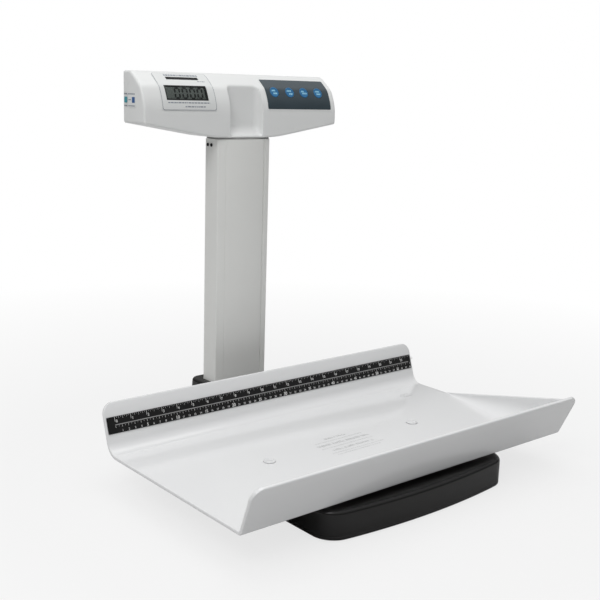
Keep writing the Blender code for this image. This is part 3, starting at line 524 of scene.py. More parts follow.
def guard():
    """Vertices and faces of the low end guard, blended into the floor with a fillet."""
    floor = TRAY_FLOOR
    lean = GUARD_LEAN / (LIP_TOP.y - TRAY_UNDERSIDE)
    top_front = Vector((LIP_TOP.x + 5, LIP_TOP.y - 5))
    top_rear = Vector((GUARD_REAR_Y, floor + 0.3))
    foot_front = -219.5
    sheet = TRAY_SHEET * 0.8
    rings = []
    for j in range(41):
        share = j / 40
        top = top_rear.lerp(top_front, share)
        foot_y = GUARD_REAR_Y + (foot_front - GUARD_REAR_Y) * share
        height = top.y - floor
        slant = (top.x - foot_y) / height if height > 0 else 0.0
        radius = min(1.9, height * 0.45)
        fillet = min(30, height * 0.85)
        section = [(TRAY_HALF - 0.2, floor - 1.5)]
        for i in range(9):
            turn = math.pi * i / 8
            section.append((TRAY_HALF - 0.1 - radius + radius * math.cos(turn),
                            top.y - radius + radius * math.sin(turn)))
        inner = TRAY_HALF - 0.1 - 2 * radius - (sheet - 3.8)
        for across, down in quarter(18):
            section.append((inner - fillet * across, floor + 0.04 + fillet * down))
        for across, lift in ((3, 0.03), (7, 0.015), (14, -0.02)):
            section.append((inner - fillet - across, floor + lift))
        section.append((inner - fillet - 14, floor - 1.5))
        rings.append([(x + lean * (z - floor), foot_y + slant * max(z - floor, 0.0), z) for x, z in section])
    return lofted(rings)


def wall_frame():
    """Start, upward direction and outward normal of the rear wall's inner face."""
    along = (WALL_TOP - REAR_CORNER).normalized()
    normal = Vector((-along.y, along.x))
    start = WALL_TOP + normal * TRAY_SHEET
    return start, along, normal


def on_wall(x, z, lift):
    start, along, normal = wall_frame()
    place = start + along * (z - start.y) / along.y + normal * lift
    return Vector((x, place.x, place.y))


def ruler():
    """The strip with its printed scale: inches above the middle line, centimetres below it."""
    left, right = RULER_LOW.x, RULER_HIGH.x
    low, high = STRIP_BOTTOM, STRIP_TOP
    outline = rectangle(left, low, right, high, 1.2, 5)
    levels = [(0.0, 0.3), (0.0, 0.9), (0.12, 1.04), (0.3, STRIP_FACE)]
    rings = [[on_wall(p.x, p.y, lift) for p in inset(outline, distance)] for distance, lift in levels]
    piece("ruler_strip_body", lofted(rings), "ruler", ["ruler_strip"], body="platform")

    zero = left + 12.5
    middle = (low + high) / 2
    marks = []
    for eighth in range(8 * 23 + 1):
        length = (6.2, 1.6, 2.6, 1.6, 3.6, 1.6, 2.6, 1.6)[eighth % 8]
        width = 0.28 if eighth % 8 else 0.5
        marks.append(stroke(zero + eighth * INCH / 8, high - 0.5 - length, high - 0.5, width))
    for step in range(2 * 58 + 1):
        length, width = (1.7, 0.3) if step % 2 else (3.0, 0.42)
        marks.append(stroke(zero + step * 5, middle - 1.1 - length, middle - 1.1, width))
    for inch in range(24):
        marks.append(number(str(inch), zero + inch * INCH + 2.6, high - 8.1, 5.2, 0.16))
    for centimetre in range(1, 59):
        bold = centimetre % 5 == 0
        size = 6.6 if centimetre % 10 == 0 else (5.6 if bold else 4.0)
        marks.append(number(str(centimetre), zero + centimetre * 10, low + 1.1, size,
                            0.22 if bold else 0.10))
    piece("ruler_scale", joined(marks), "mark", body="platform")
    line = stroke((left + right) / 2 + 3, middle - 0.55, middle + 0.55, right - left - 18)
    piece("ruler_middle_line", line, "mark_grey", body="platform")


def stroke(x, low, high, width):
    """A printed bar on the strip."""
    half = width / 2
    corners = [(x - half, low), (x + half, low), (x + half, high), (x - half, high)]
    return lofted([[on_wall(a, b, STRIP_FACE + lift) for a, b in corners] for lift in (-0.05, STRIP_INK)])


def number(text, x, low, size, weight):
    """Vertices and faces of raised digits on the strip, centred at x; weight thickens them."""
    curve = bpy.data.curves.new("digits", "FONT")
    curve.body = text
    curve.align_x = "CENTER"
    curve.offset = 0.02 * weight / 0.16
    curve.resolution_u = 3
    item = linked("digits", curve)
    bpy.context.view_layer.update()
    mesh = item.to_mesh()
    points = [on_wall(x + v.co.x * size, low + v.co.y * size, STRIP_FACE + STRIP_INK) for v in mesh.vertices]
    loops = [tuple(p.vertices) for p in mesh.polygons]
    item.to_mesh_clear()
    bpy.data.objects.remove(item, do_unlink=True)
    return points, loops


def seat(low, high):
    """Middle of the underside of a box."""
    return ((low.x + high.x) / 2, (low.y + high.y) / 2, low.z)


def tray_caps():
    """Round caps with a rolled rim, a sunken face and a small boss in the middle."""
    rim = [(0.6, 0), (0.82, 0.1), (0.95, 0.35), (1, 0.8), (0.97, 1.4), (0.85, 1.8), (0.42, 2.1), (0.36, 2.6)]
    boss = [(0.36, 0.34), (0.75, 0.27), (0.85, 0.18)]
    for _, label in SIDES:
        low, high = box_of("tray_screw_cap_" + label)
        radius, tall = (high.x - low.x) / 2, high.z - low.z
        profile = [(0, radius - 0.15), (0.1, radius)]
        profile += [(tall * share, radius - inwards) for share, inwards in rim]
        profile += [(tall * share, radius * part) for share, part in boss] + [(tall * 0.87, 0.6)]
        piece("tray_cap_" + label, turned(seat(low, high), UP, profile, 48), "cap",
              ["tray_screw_cap_" + label], body="platform", sharp=60)


def flat_bar(x, y, width, depth):
    """A printed bar on the tray's floor."""
    return block((x - width / 2, y - depth / 2, TRAY_FLOOR - 0.02),
                 (x + width / 2, y + depth / 2, TRAY_FLOOR + 0.05))


def word_row(x_low, x_high, y, tall, rng, gap):
    """A row of dashes of uneven length that reads as a line of small print."""
    bars = []
    x = x_low
    while x < x_high:
        width = min(rng.uniform(1.4, 3.6), x_high - x)
        if width > 0.8:
            bars.append(flat_bar(x + width / 2, y, width, tall))
        x += width + gap
    return bars


def picket_row(x_low, x_high, y, tall, rng):
    """A row of short upright strokes in groups, which reads from afar as a line of larger print."""
    bars = []
    x = x_low
    while x < x_high:
        for _ in range(rng.randint(8, 14)):
            if x > x_high:
                break
            part = rng.choice((1.0, 1.0, 0.55))
            bars.append(flat_bar(x, y - (1 - part) * tall / 2, 0.8, tall * part))
            if rng.random() < 0.55:
                bars.append(flat_bar(x + 0.8, y + rng.choice((-0.5, 0, 0.5)) * (tall - 0.8), 1.4, 0.8))
            x += 2.1
        x += 3
    return bars


def floor_print():
    """The notice printed on the tray's floor, as plain dashes, and a small mark near its far corner."""
    rng = random.Random(7)
    bars = []
    for left, right, y, tall in [(-20, 20, -46, 4.6), (-50, 48, -66, 6.2), (-38, 38, -87, 5.2)]:
        bars += picket_row(left, right, y, tall, rng)
    for left, right, y in [(-46, 46, -55.5), (-50, 46, -76.5), (-48, 50, -96.5), (-44, 40, -103)]:
        bars += word_row(left, right, y, 1.3, rng, 1.6)
    for left, right, y, tall in [(224, 240, 40, 1.8), (217, 247, 35, 1.2), (222, 241, 30, 3.2)]:
        bars += word_row(left, right, y, tall, rng, 1.0)
    piece("floor_notice", joined(bars), "notice", body="platform")


# ---- base, boot and column

def shell_piece(name, outline, outer, inner, node_name):
    """A black moulding: outer and inner are (inset, height) steps of its two sides, from the foot up."""
    rings = [[(p.x, p.y, z) for p in inset(outline, distance)] for distance, z in outer[::-1] + inner]
    return piece(name, lofted(rings), "base", [node_name])


def edge_steps(radius_in, radius_down, top, count):
    """(inset, height) steps of a rounded top edge, from the upright face to the top."""
    return [(radius_in * across, top - radius_down * up) for across, up in quarter(count)]


def base_outline():
    """Plan of the base: a bowed front, and a narrower part at the back that reaches under the column."""
    half, rear = BASE_HIGH.x, BASE_HIGH.y
    arc, front, shoulder, neck = 1060, -242, 112, 76

    def bow(x):
        return front + x * x / (2 * arc)

    corners = [(-half, bow(half), 33)] + [(x, bow(x), 0) for x in (i * 16.5 for i in range(-8, 9))]
    corners += [(half, bow(half), 33), (half, shoulder, 30), (neck, shoulder, 24), (neck, rear, 22),
                (-neck, rear, 22), (-neck, shoulder, 24), (-half, shoulder, 30)]
    return rounded(corners, 12)


def base():
    low, top = BASE_LOW.z, BASE_HIGH.z
    outer = [(0.5, low), (0.1, low + 0.4), (0, low + 1), (0, low + 4.2), (0.35, low + 4.5), (0.35, low + 5.1),
             (0, low + 5.4)]
    outer += edge_steps(8, 6.5, top - 0.4, 9) + [(12, top - 0.1), (15, top)]
    inner = [(3, low), (3, top - 8), (8, top - 3)]
    cover = shell_piece("base_shell", base_outline(), outer, inner, "base_cover")
    holes = [(-SCREW_X, SCREW_Y), (SCREW_X, SCREW_Y), (0, -175), (0, 39)]
    cut(cover, *[rod((x, y, 30), UP, 12, 20, 48) for x, y in holes], block((-47.8, 193, 30), (47.8, 221, 50)))

    low, top = BOOT_LOW.z, BOOT_HIGH.z
    outer = [(-2.6, low), (-3, low + 0.5), (-2.9, low + 2.2), (-1.9, low + 4)]
    outer += edge_steps(6, 6.5, top, 8) + [(8.5, top)]
    inner = [(0, low), (3, top - 9), (6, top - 3)]
    boot = shell_piece("boot_shell", rectangle(-62.5, 168, 62.5, 247, 14, 12), outer, inner, "column_boot")
    cut(boot, upright(column_plan(0.5), (30, 100)))


def column_face(x):
    """How far back the column's bowed front is at this distance from its middle."""
    return COLUMN_FRONT - COLUMN_BOW * (1 - (x / COLUMN_HIGH.x) ** 2)


def column_plan(grow):
    """Plan of the column without its fine grooves, grown outwards by a distance."""
    half = COLUMN_HIGH.x
    plan = [Vector((x, column_face(x))) for x in (half * i / 24 for i in range(-24, 25))]
    return inset(plan + [Vector((half, COLUMN_HIGH.y)), Vector((-half, COLUMN_HIGH.y))], -grow)


def column_outline():
    """Plan of the front cover: rounded front edges, three fine grooves and a thin wall, open at the back."""
    half, depth = COLUMN_HIGH.x, COLUMN_HIGH.y
    edge, wall = 2.4, 2
    left = [(-half + edge * back, column_face(-half + edge) + edge * out - 0.2 * out)
            for back, out in reversed(quarter(6))]
    front = []
    for i in range(-22, 23):
        x = (half - edge - 0.4) * i / 22
        if abs(abs(x) - GROOVE_X) >= 1.3 and abs(x - SECOND_GROOVE_X) >= 1.3:
            front.append((x, column_face(x)))
    groove = [(-0.75, 0), (-0.55, 0.2), (-0.42, 1), (0.42, 1), (0.55, 0.2), (0.75, 0)]
    for x, deep in ((-GROOVE_X, 0.2), (GROOVE_X, 1.2), (SECOND_GROOVE_X, 0.3)):
        front += [(x + across, column_face(x) + share * deep) for across, share in groove]
    outline = sorted(left + front, key=lambda p: p[0])
    outline += sorted([(-x, y) for x, y in left[1:]], key=lambda p: p[1])
    outline += [(half, depth - 0.5), (half - 0.5, depth), (half - wall, depth),
                (half - wall, COLUMN_FRONT + 2)]
    outline += [(x, column_face(x) + wall + 1) for x in (30, 15, 0, -15, -30)]
    return outline + [(-half + wall, COLUMN_FRONT + 2), (-half + wall, depth), (-half + 0.5, depth),
                      (-half, depth - 0.5)]


def column():
    heights = (COLUMN_LOW.z, COLUMN_HIGH.z)
    post = piece("column_extrusion", upright(column_outline(), heights), "column",
                 ["column_front"], sharp=28)
    cut(post, *[rod((side * 44, y, COLUMN_SCREW_Z), (side, 0, 0), 1.9, 9, 20)
                for side, _ in SIDES for _, y in COLUMN_SCREW_ROWS])

    low, high = box_of("column_rear_panel")
    panel = [(low.x, low.y), (high.x, low.y), (high.x, high.y - 0.5), (high.x - 0.5, high.y)]
    for x in range(40, -41, -8):
        panel += [(x + 1.1, high.y), (x + 0.6, high.y - 0.6), (x - 0.6, high.y - 0.6), (x - 1.1, high.y)]
    panel += [(low.x + 0.5, high.y), (low.x, high.y - 0.5)]
    piece("column_back", upright(panel, (low.z, high.z)), "column", ["column_rear_panel"],
          sharp=28)

    low, high = box_of("column_gasket")
    plan = column_plan(-1.2)
    rings = [[(p.x, p.y, z) for p in inset(plan, d)]
             for d, z in ((0.3, low.z), (0, low.z + 0.4), (0, high.z - 0.4), (0.3, high.z))]
    # the seal's grey tone stands in for the soft shadow line under the head: painted shade
    seal_shadow_tone = piece("column_seal_shadow_tone", lofted(rings), "seal_shadow_tone", ["column_gasket"])
    cut(seal_shadow_tone, block((-48, 200, 460), (48, 220.5, 480)))


def cross_screw(name, start, axis, tall, radius, finish, node_name, length):
    """A round-headed screw with a cross recess; start is the middle of its head's seat."""
    axis = Vector(axis)
    shank, rim = 1.5, 0.15
    profile = [(-length, shank * 0.8), (-length + 0.5, shank), (-0.001, shank), (0, radius - 0.1),
               (rim, radius)]
    for i in range(1, 8):
        turn = math.pi / 2 * i / 8
        profile.append((rim + (tall - rim) * math.sin(turn), radius * math.cos(turn) ** 0.55))
    profile.append((tall, radius * 0.12))
    screw = piece(name, turned(start, axis, profile, 32), finish, [node_name], sharp=45)
    side = axis.orthogonal().normalized()
    other = axis.cross(side)
    for along, across in ((side, other), (other, side)):
        arm = []
        for depth, reach, wide in ((1.5, 0.62, 0.13), (-0.05, 0.30, 0.09)):
            centre = Vector(start) + axis * tall * depth
            arm.append([centre + along * a * radius * reach + across * b * radius * wide
                        for a, b in ((-1, -1), (1, -1), (1, 1), (-1, 1))])
        cut(screw, lofted(arm))


def screws():
    for side, label in SIDES:
        for row, y in COLUMN_SCREW_ROWS:
            name = "%s_%s" % (label, row)
            start = (side * (COLUMN_HIGH.x + 0.3), y, COLUMN_SCREW_Z)
            cross_screw("side_screw_" + name, start, (side, 0, 0), 1.5, 2.8, "black_screw",
                        "column_screw_" + name, 8)
    for i, (centre, back) in enumerate(cover_screws(), 1):
        cross_screw("cover_screw_%d" % i, (centre.x, back - 1.5, centre.z), BACKWARDS, 1.4, 3, "steel",
                    "head_screw_%d" % i, 13)


def cover_screws():
    """(middle, back) of each screw of the head's rear cover."""
    boxes = [box_of("head_screw_%d" % i) for i in range(1, 5)]
    return [((low + high) / 2, high.y) for low, high in boxes]


def feet():
    """Each levelling foot: a ribbed rubber pad and a threaded stem."""
    for label in ("front_left", "front_right", "rear_left", "rear_right"):
        low, high = box_of("levelling_foot_" + label)
        centre = ((low.x + high.x) / 2, (low.y + high.y) / 2, 0)
        radius = (high.x - low.x) / 2
        pad = [(0, 3)] + [(z, radius - inwards) for z, inwards in (
            (0, 5), (0.35, 4.6), (0.35, 3.6), (0, 3.2), (0, 1.5), (0.4, 0.5), (1.2, 0), (2.9, 0), (3.3, 0.3),
            (3.45, 1))] + [(3.5, 3)]
        stem = [(3.4, 3.6)]
        for z in (4 + turn * 1.25 for turn in range(17)):
            stem += [(z, 3.35), (z + 0.55, 4), (z + 0.7, 4)]
        stem += [(high.z - 0.4, 3.35), (high.z, 2.9)]
        for name, profile, sides, finish, sharp in (("foot_pad_", pad, 48, "rubber", 40),
                                                    ("foot_stem_", stem, 24, "steel", 25)):
            piece(name + label, turned(centre, UP, profile, sides), finish,
                  ["levelling_foot_" + label], body="foot_" + label, sharp=sharp)


# ---- head

def smooth_curve(points, steps):
    """A Catmull-Rom curve through plane points."""
    points = [Vector(p) for p in points]
    ends = [2 * points[0] - points[1]] + points + [2 * points[-1] - points[-2]]
    curve = []
    for a, b, c, d in zip(ends, ends[1:], ends[2:], ends[3:]):
        for i in range(steps):
            t = i / steps
            curve.append(0.5 * (2 * b + (c - a) * t + (2 * a - 5 * b + 4 * c - d) * t ** 2
                                + (3 * b - a - 3 * c + d) * t ** 3))
    return curve + [points[-1]]


FRONT_CURVE = [Vector((y, min(z, HEAD_CURVE[0][1]))) for y, z in smooth_curve(HEAD_CURVE, 3)]


def front_y(z):
    """Where the head's front is at height z."""
    if z <= FRONT_CURVE[-1].y:
        return HEAD_LOW.y
    for a, b in zip(FRONT_CURVE[1:], FRONT_CURVE[2:]):
        if b.y <= z <= a.y:
            return a.x + (b.x - a.x) * (a.y - z) / max(a.y - b.y, 1e-9)
    return FRONT_CURVE[1].x


def front_normal(z):
    step = 0.5
    slope = Vector((front_y(z + step) - front_y(z - step), 2 * step)).normalized()
    return Vector((-slope.y, slope.x))


def on_head(x, z, lift):
    """A point on the head's front at height z, lifted off its surface."""
    place = Vector((front_y(z), z)) + front_normal(z) * lift
    return Vector((x, place.x, place.y))


def underside(x):
    """Height of the head's underside: level in the middle, rising to the ends."""
    slope = (END_BOTTOM - HEAD_BOTTOM) / (HEAD_HALF - FLAT_HALF)
    bend = 7
    past = abs(x) - FLAT_HALF
    if past < 40 * bend:
        past = math.log1p(math.exp(past / bend)) * bend
    return HEAD_BOTTOM + slope * past


def soft_max(a, b, width):
    """The larger of two values, with the crease between them rounded."""
    gap = max(width - abs(a - b), 0.0) / width
    return max(a, b) + gap * gap * width / 4


def channel_stations():
    """(x, y of the channel's wall or floor) from the edge of the channel to its middle."""
    wall = [(34.5, 150), (33.4, 160), (32.6, 170), (32.1, 178), (31.9, 181.5), (31.75, 184), (31.65, 186),
            (31.55, 188)]
    turns = [math.pi / 2 * i / 8 for i in range(9)]
    side, front = CHANNEL_HALF - CHANNEL_FILLET, CHANNEL_Y - CHANNEL_FILLET
    fillet = [(side + CHANNEL_FILLET * math.cos(turn), front + CHANNEL_FILLET * math.sin(turn))
              for turn in turns]
    return wall + fillet + [(x, CHANNEL_Y) for x in (16, 10.5, 5, 0)]


def mirrored(right):
    """Stations of both halves, from those of the right half; the first is in the middle."""
    return [(-x, *rest) for x, *rest in reversed(right[1:])] + right


def head_end():
    """(x, end inset) stations of the head's rounded right end."""
    return [(HEAD_HALF - 4 * out, 4 * back) for back, out in quarter(6)]


def head_stations():
    """(x, channel y, end inset) stations from the left end of the head to its right end."""
    right = [(x, y, 0.0) for x, y in reversed(channel_stations())]
    right += [(x, 0.0, 0.0) for x in (37, 41, 46, 50, 54, 58, 62, 66, 71, 78, 88, 100, 112, 124, 136, 148,
                                      160, 170, 177)]
    return mirrored(right + [(x, 0.0, end) for x, end in head_end()])


def scoop_forward(z):
    """How far the channel's floor has come forward at height z."""
    bend_top = HEAD_BOTTOM + 2 + CHANNEL_SCOOP
    below = min(max(bend_top - z, 0.0), CHANNEL_SCOOP)
    return CHANNEL_SCOOP - math.sqrt(CHANNEL_SCOOP ** 2 - below ** 2)


FRONT_SHARES = (0.2, 0.32, 0.44, 0.54, 0.63, 0.71, 0.78, 0.84, 0.9, 0.95, 1.0)


def plane(*points):
    return [Vector(point) for point in points]


def head_section(x, channel_y, end):
    """Open outline of the front housing at one station, from its top seam round to its bottom seam."""
    low = underside(x)
    section = plane((SEAM_Y, HEAD_TOP - 0.5), (SEAM_Y - 0.5, HEAD_TOP), *FRONT_CURVE[2:])
    start = FRONT_CURVE[-1].y
    drop = low + (1.4 if channel_y else 4) - start
    section += plane((HEAD_LOW.y, 0.93 * start + 0.07 * (low + 4)))
    section += plane(*((HEAD_LOW.y, start + drop * share) for share in FRONT_SHARES))
    if channel_y:
        for point in section[2:]:
            floor = channel_y - scoop_forward(point.y)
            if floor > point.x - 3:
                point.x = soft_max(point.x, floor, 1.6)
    lip = section[-1].x
    edge = 1.2 if channel_y else 3
    section += plane(*((lip + edge * back, low + edge * out) for back, out in quarter(5)))
    section += plane((215, low), (SEAM_Y - 0.5, low), (SEAM_Y, low + 0.5))
    return shrunk(section, end) if end else section


def shrunk(path, distance):
    """Move an open outline inwards, keeping its two ends on the seam."""
    moved = []
    for i, here in enumerate(path):
        along = Vector((0, 0))
        for before, after in zip(path[max(i - 1, 0):i + 1], path[max(i, 1):i + 2]):
            along += (after - before).normalized()
        moved.append(here + Vector((-along.y, along.x)).normalized() * distance)
    moved[0].x = moved[-1].x = SEAM_Y
    return moved


def skin(name, sections, node_name, thickness):
    """A moulding: open outlines lofted along X, closed at both ends and given a wall."""
    count, last = len(sections[0][1]), len(sections) - 1
    faces = [(k * count + i, k * count + i + 1, (k + 1) * count + i + 1, (k + 1) * count + i)
             for k in range(last) for i in range(count - 1)]
    faces += [tuple(reversed(range(count))), tuple(last * count + i for i in range(count))]
    vertices = [(x, p.x, p.y) for x, path in sections for p in path]
    item = piece(name, (vertices, faces), "head", [node_name], sharp=34)
    wall = item.modifiers.new("wall", "SOLIDIFY")
    wall.thickness = thickness * MM
    wall.offset = -1
    wall.use_even_offset = False
    bake(item, 34)
    return item


def window_tool():
    """A block that cuts the display's window through the housing and the film on it."""
    return block((WINDOW_LOW.x - 0.7, 150, LCD_BOTTOM - 0.3), (WINDOW_HIGH.x + 2.1, 206, LCD_TOP + 0.3))


def key_bores(radius, length, sides):
    """Rods that cut the four round holes the keys sit in."""
    return [rod(on_head(x, KEY_Z, -6), on_head(x, KEY_Z, 6) - on_head(x, KEY_Z, -6), radius, length, sides)
            for x in KEY_XS]


def head_front():
    sections = [(x, head_section(x, y, end)) for x, y, end in head_stations()]
    housing = skin("head_front_shell", sections, "head_front_housing", 2.4)
    neck = block((-32, 204.5, 465), (32, 221.5, 480))
    cut(housing, window_tool(), neck, *key_bores(KEY_RADIUS + 0.4, 9, 40))


def rear_section(x, end):
    """Open outline of the rear cover at one station, from its top seam round to its bottom seam."""
    low = underside(x)
    seam, back, radius = REAR_LOW.y, REAR_HIGH.y, 5
    section = plane((seam, HEAD_TOP - 0.5), (seam + 0.5, HEAD_TOP))
    section += plane(*((back - radius * out, HEAD_TOP - radius * down) for down, out in quarter(7)))
    section += plane(*((back - radius * out, low + radius * up) for out, up in quarter(7)))
    section += plane((seam + 0.5, low), (seam, low + 0.5))
    if end:
        section = plane(*((min(p.x, back - end), min(max(p.y, low + end), HEAD_TOP - end)) for p in section))
        section[0].x = section[-1].x = seam
    return section


def head_rear():
    """The rear cover with its openings for the door, the cells, the inlet, the screws and the vents."""
    flat = [(x, 0.0) for x in (0, 20, 40, 50, 54, 58, 62, 66, 71, 80, 100, 120, 140, 160, 175)]
    sections = [(x, rear_section(x, end)) for x, end in mirrored(flat + head_end())]
    cover = skin("head_rear_shell", sections, "head_rear_cover", 4.4)
    back = REAR_HIGH.y
    tools = [block((DOOR_LOW.x - 0.35, back - 2.35, 450), (DOOR_HIGH.x + 0.35, back + 5, DOOR_HIGH.z + 0.35)),
             block((-55.5, 225, 481), (55.5, 250, 517))]
    centre = (INLET_LOW + INLET_HIGH) / 2
    tools.append(turned((centre.x, 225, centre.z), BACKWARDS,
                        [(0, 5.6), (17.8, 5.6), (18.6, 6.6), (25, 6.6)], 40))
    tools += [turned((screw.x, 230, screw.z), BACKWARDS, [(0, 1.9), (11.6, 1.9), (11.6, 3.5), (20, 3.5)], 28)
              for screw, _ in cover_screws()]
    for z in (520, 537):
        for x in range(92, 141, 6):
            slot = rectangle(x - 1.2, z - 6, x + 1.2, z + 6, 1.15, 4)
            tools.append(lofted([[(p.x, y, p.y) for p in slot] for y in (back - 2.2, back + 3)]))
    cut(cover, *tools)


def door():
    """Battery door with finger ribs and a raised arrow that points the way it slides."""
    low, high = DOOR_LOW, DOOR_HIGH
    back = high.y
    outline = rounded([(low.x, low.z, 0.6), (high.x, low.z, 0.6), (high.x, high.z, 1.5),
                       (low.x, high.z, 1.5)], 5)
    steps = [(0.2, low.y), (0, low.y + 0.2), (0, back - 0.9), (0.15, back - 0.6), (0.5, back - 0.45)]
    plate = lofted([[(p.x, y, p.y) for p in inset(outline, d)] for d, y in steps])
    piece("door_plate", plate, "head", ["battery_door"], body="battery_door")
    ribs = []
    for z in (503 + i * 2.2 for i in range(6)):
        ribs.append(lofted([[(x * (14 - shrink), y, z + up * (0.55 - shrink))
                             for x, up in ((-1, -1), (1, -1), (1, 1), (-1, 1))]
                            for y, shrink in ((back - 0.6, 0.0), (back - 0.15, 0.15), (back - 0.02, 0.35))]))
    arrow = [(-6, 499), (0, 492), (6, 499), (2.6, 499), (2.6, 500.6), (-2.6, 500.6), (-2.6, 499)]
    ribs.append(lofted([[(x, y, z) for x, z in arrow] for y in (back - 0.6, back - 0.05)]))
    piece("door_ribs", joined(ribs), "head", body="battery_door")


def inlet():
    """A round power socket with a pin in its middle."""
    low, high = INLET_LOW, INLET_HIGH
    outer, bore, pin = 5.2, 3.3, 1.1
    depth = high.y - low.y
    profile = [(0, outer), (depth - 0.6, outer), (depth - 0.15, outer - 0.3), (depth, outer - 0.7),
               (depth, bore + 0.5), (depth - 0.5, bore), (4, bore), (4, pin), (depth - 1.6, pin),
               (depth - 1, 0.5)]
    piece("inlet_socket", turned(((low.x + high.x) / 2, low.y, (low.z + high.z) / 2), BACKWARDS, profile, 40),
          "inlet", ["power_inlet"], sharp=40)


# ---- what is printed and fitted on the head

def rounded_rows(low, high, half_width, corner, rows):
    """(height, half width) rows of a rounded rectangle, from bottom to top."""
    steps = [(low + corner * down, half_width - corner * short) for down, short in quarter(6)]
    middle = [(low + corner + (high - low - 2 * corner) * i / rows, half_width) for i in range(1, rows)]
    upper = [(high - corner * down, half_width - corner * short) for down, short in reversed(quarter(6))]
    return steps + middle + upper


def film(name, left, right, low, high, corner, lift, thick, finish, nodes=()):
    """A thin sheet that follows the head's front."""
    return piece(name, film_mesh(left, right, low, high, corner, lift, thick), finish, nodes, sharp=50)


def film_mesh(left, right, low, high, corner, lift, thick):
    centre, half = (left + right) / 2, (right - left) / 2
    rings = []
    for z, wide in rounded_rows(low, high, half, corner, max(2, int((high - low) / 2.2))):
        rings.append([on_head(centre + side * wide, z, height)
                      for side, height in ((-1, lift), (1, lift), (1, lift + thick), (-1, lift + thick))])
    return lofted(rings)


def outline_band(left, right, low, high, corner, width, lift, thick):
    """A thin printed outline that follows the head's front."""
    points = rectangle(left, low, right, high, corner, 8)
    outer = []
    for here, after in zip(points, points[1:] + points[:1]):
        count = max(1, int((after - here).length / 3))
        outer += [here.lerp(after, j / count) for j in range(count)]
    middle_x, middle_z = (left + right) / 2, (low + high) / 2
    across, up = 1 - 2 * width / (right - left), 1 - 2 * width / (high - low)

    def outer_ring(height):
        return [on_head(p.x, p.y, height) for p in outer]

    def inner_ring(height):
        return [on_head(middle_x + (p.x - middle_x) * across, middle_z + (p.z - middle_z) * up, height)
                for p in outer_ring(height)]

    top = lift + thick
    vertices = outer_ring(lift) + outer_ring(top) + inner_ring(top) + inner_ring(lift)
    count = len(outer)
    faces = [(k * count + i, k * count + j, n * count + j, n * count + i)
             for k, n in ring_sides(4) for i, j in ring_sides(count)]
    return vertices, faces


def head_dashes(left, right, z, tall, rng, gap):
    """A row of short bars on the head's front."""
    bars = []
    x = left
    while x < right:
        width = min(rng.uniform(1.6, 5.5), right - x)
        if width > 0.7:
            bars.append(film_mesh(x, x + width, z - tall / 2, z + tall / 2, 0.15, FILM_FACE, 0.05))
        x += width + gap
    return bars


def display():
    """The overlay with its outline and printing, and the liquid crystal display behind its window."""
    rng = random.Random(3)
    left, right, low, high = PANEL_LOW.x, PANEL_HIGH.x, PANEL_BOTTOM, PANEL_TOP
    panel = film("display_film", left, right, low, high, 3.5, 0.25, FILM_FACE - 0.25, "panel",
                 ["display_panel"])
    cut(panel, window_tool())
    band = outline_band(left + 0.5, right - 0.5, low + 0.5, high - 0.5, 3.2, 0.6, FILM_FACE, 0.05)
    piece("display_outline", band, "outline")

    prints = head_dashes(-133, -74, 562.1, 2.2, rng, 0.9) + head_dashes(-80, -66, 554.2, 0.9, rng, 0.9)
    piece("display_small_print_top", joined(prints), "print")
    piece("display_black_bar", film_mesh(-132.5, -75.8, 556.2, 559.8, 0.4, FILM_FACE, 0.06), "ink")
    prints = head_dashes(-142, -68.5, 523.6, 1.7, rng, 1.0) + head_dashes(-113, -77, 518.0, 1.7, rng, 1.0)
    piece("display_small_print_low", joined(prints), "print")

    left, right, low, high = WINDOW_LOW.x - 0.4, WINDOW_HIGH.x + 1.8, LCD_BOTTOM, LCD_TOP
    film("lcd_bezel", left, right, low, high, 0.5, -2.8, 1.2, "bezel", ["lcd_module"])
    piece("lcd_frame", outline_band(left + 0.05, right - 0.05, low, high, 0.5, 1.3, -1.7, 2.3), "bezel")
    film("lcd_face", left + 1.4, right - 3.8, low + 1.4, high - 1.4, 0.3, -1.75, 0.6, "lcd")
    digits(-126.4, low + 3.1)
    film("lcd_cover", left + 1.35, right - 1.35, low + 1.4, high - 1.4, 0.3, -0.4, 0.4, "window",
         ["lcd_window"])


DIGIT_WIDE = 7.6
DIGIT_TALL = 14.5
DIGIT_STEP = 13.3
DIGIT_LIFT = -1.15
DIGIT_THICK = 0.12
ZERO = (((0, 1), (1, 1)), ((1, 1), (1, 0.5)), ((1, 0.5), (1, 0)), ((1, 0), (0, 0)), ((0, 0), (0, 0.5)),
        ((0, 0.5), (0, 1)))


def digits(left, low):
    """Four zeros of six lit segments each, leaning a little, with a decimal point."""
    marks = [segment(left + place * DIGIT_STEP, low, ends) for place in range(4) for ends in ZERO]
    dot_x = left + 3 * DIGIT_STEP - 2.1
    marks.append(film_mesh(dot_x - 0.7, dot_x + 0.7, low - 0.6, low + 0.8, 0.2, DIGIT_LIFT, DIGIT_THICK))
    piece("lcd_digits", joined(marks), "segment")


def segment(left, low, ends):
    """One bar of a digit, pointed at both ends; ends are shares of the digit's width and height."""
    half, lean = 1.5, 0.06
    a, b = [Vector((x * DIGIT_WIDE, z * DIGIT_TALL)) for x, z in ends]
    along = (b - a).normalized()
    across = Vector((-along.y, along.x)) * half
    start, end, point = a + along * 0.35, b - along * 0.35, along * half
    outline = [start, start + point + across, end - point + across, end, end - point - across,
               start + point - across]
    return lofted([[on_head(left + p.x + lean * p.y, low + p.y, height) for p in outline]
                   for height in (DIGIT_LIFT, DIGIT_LIFT + DIGIT_THICK)])


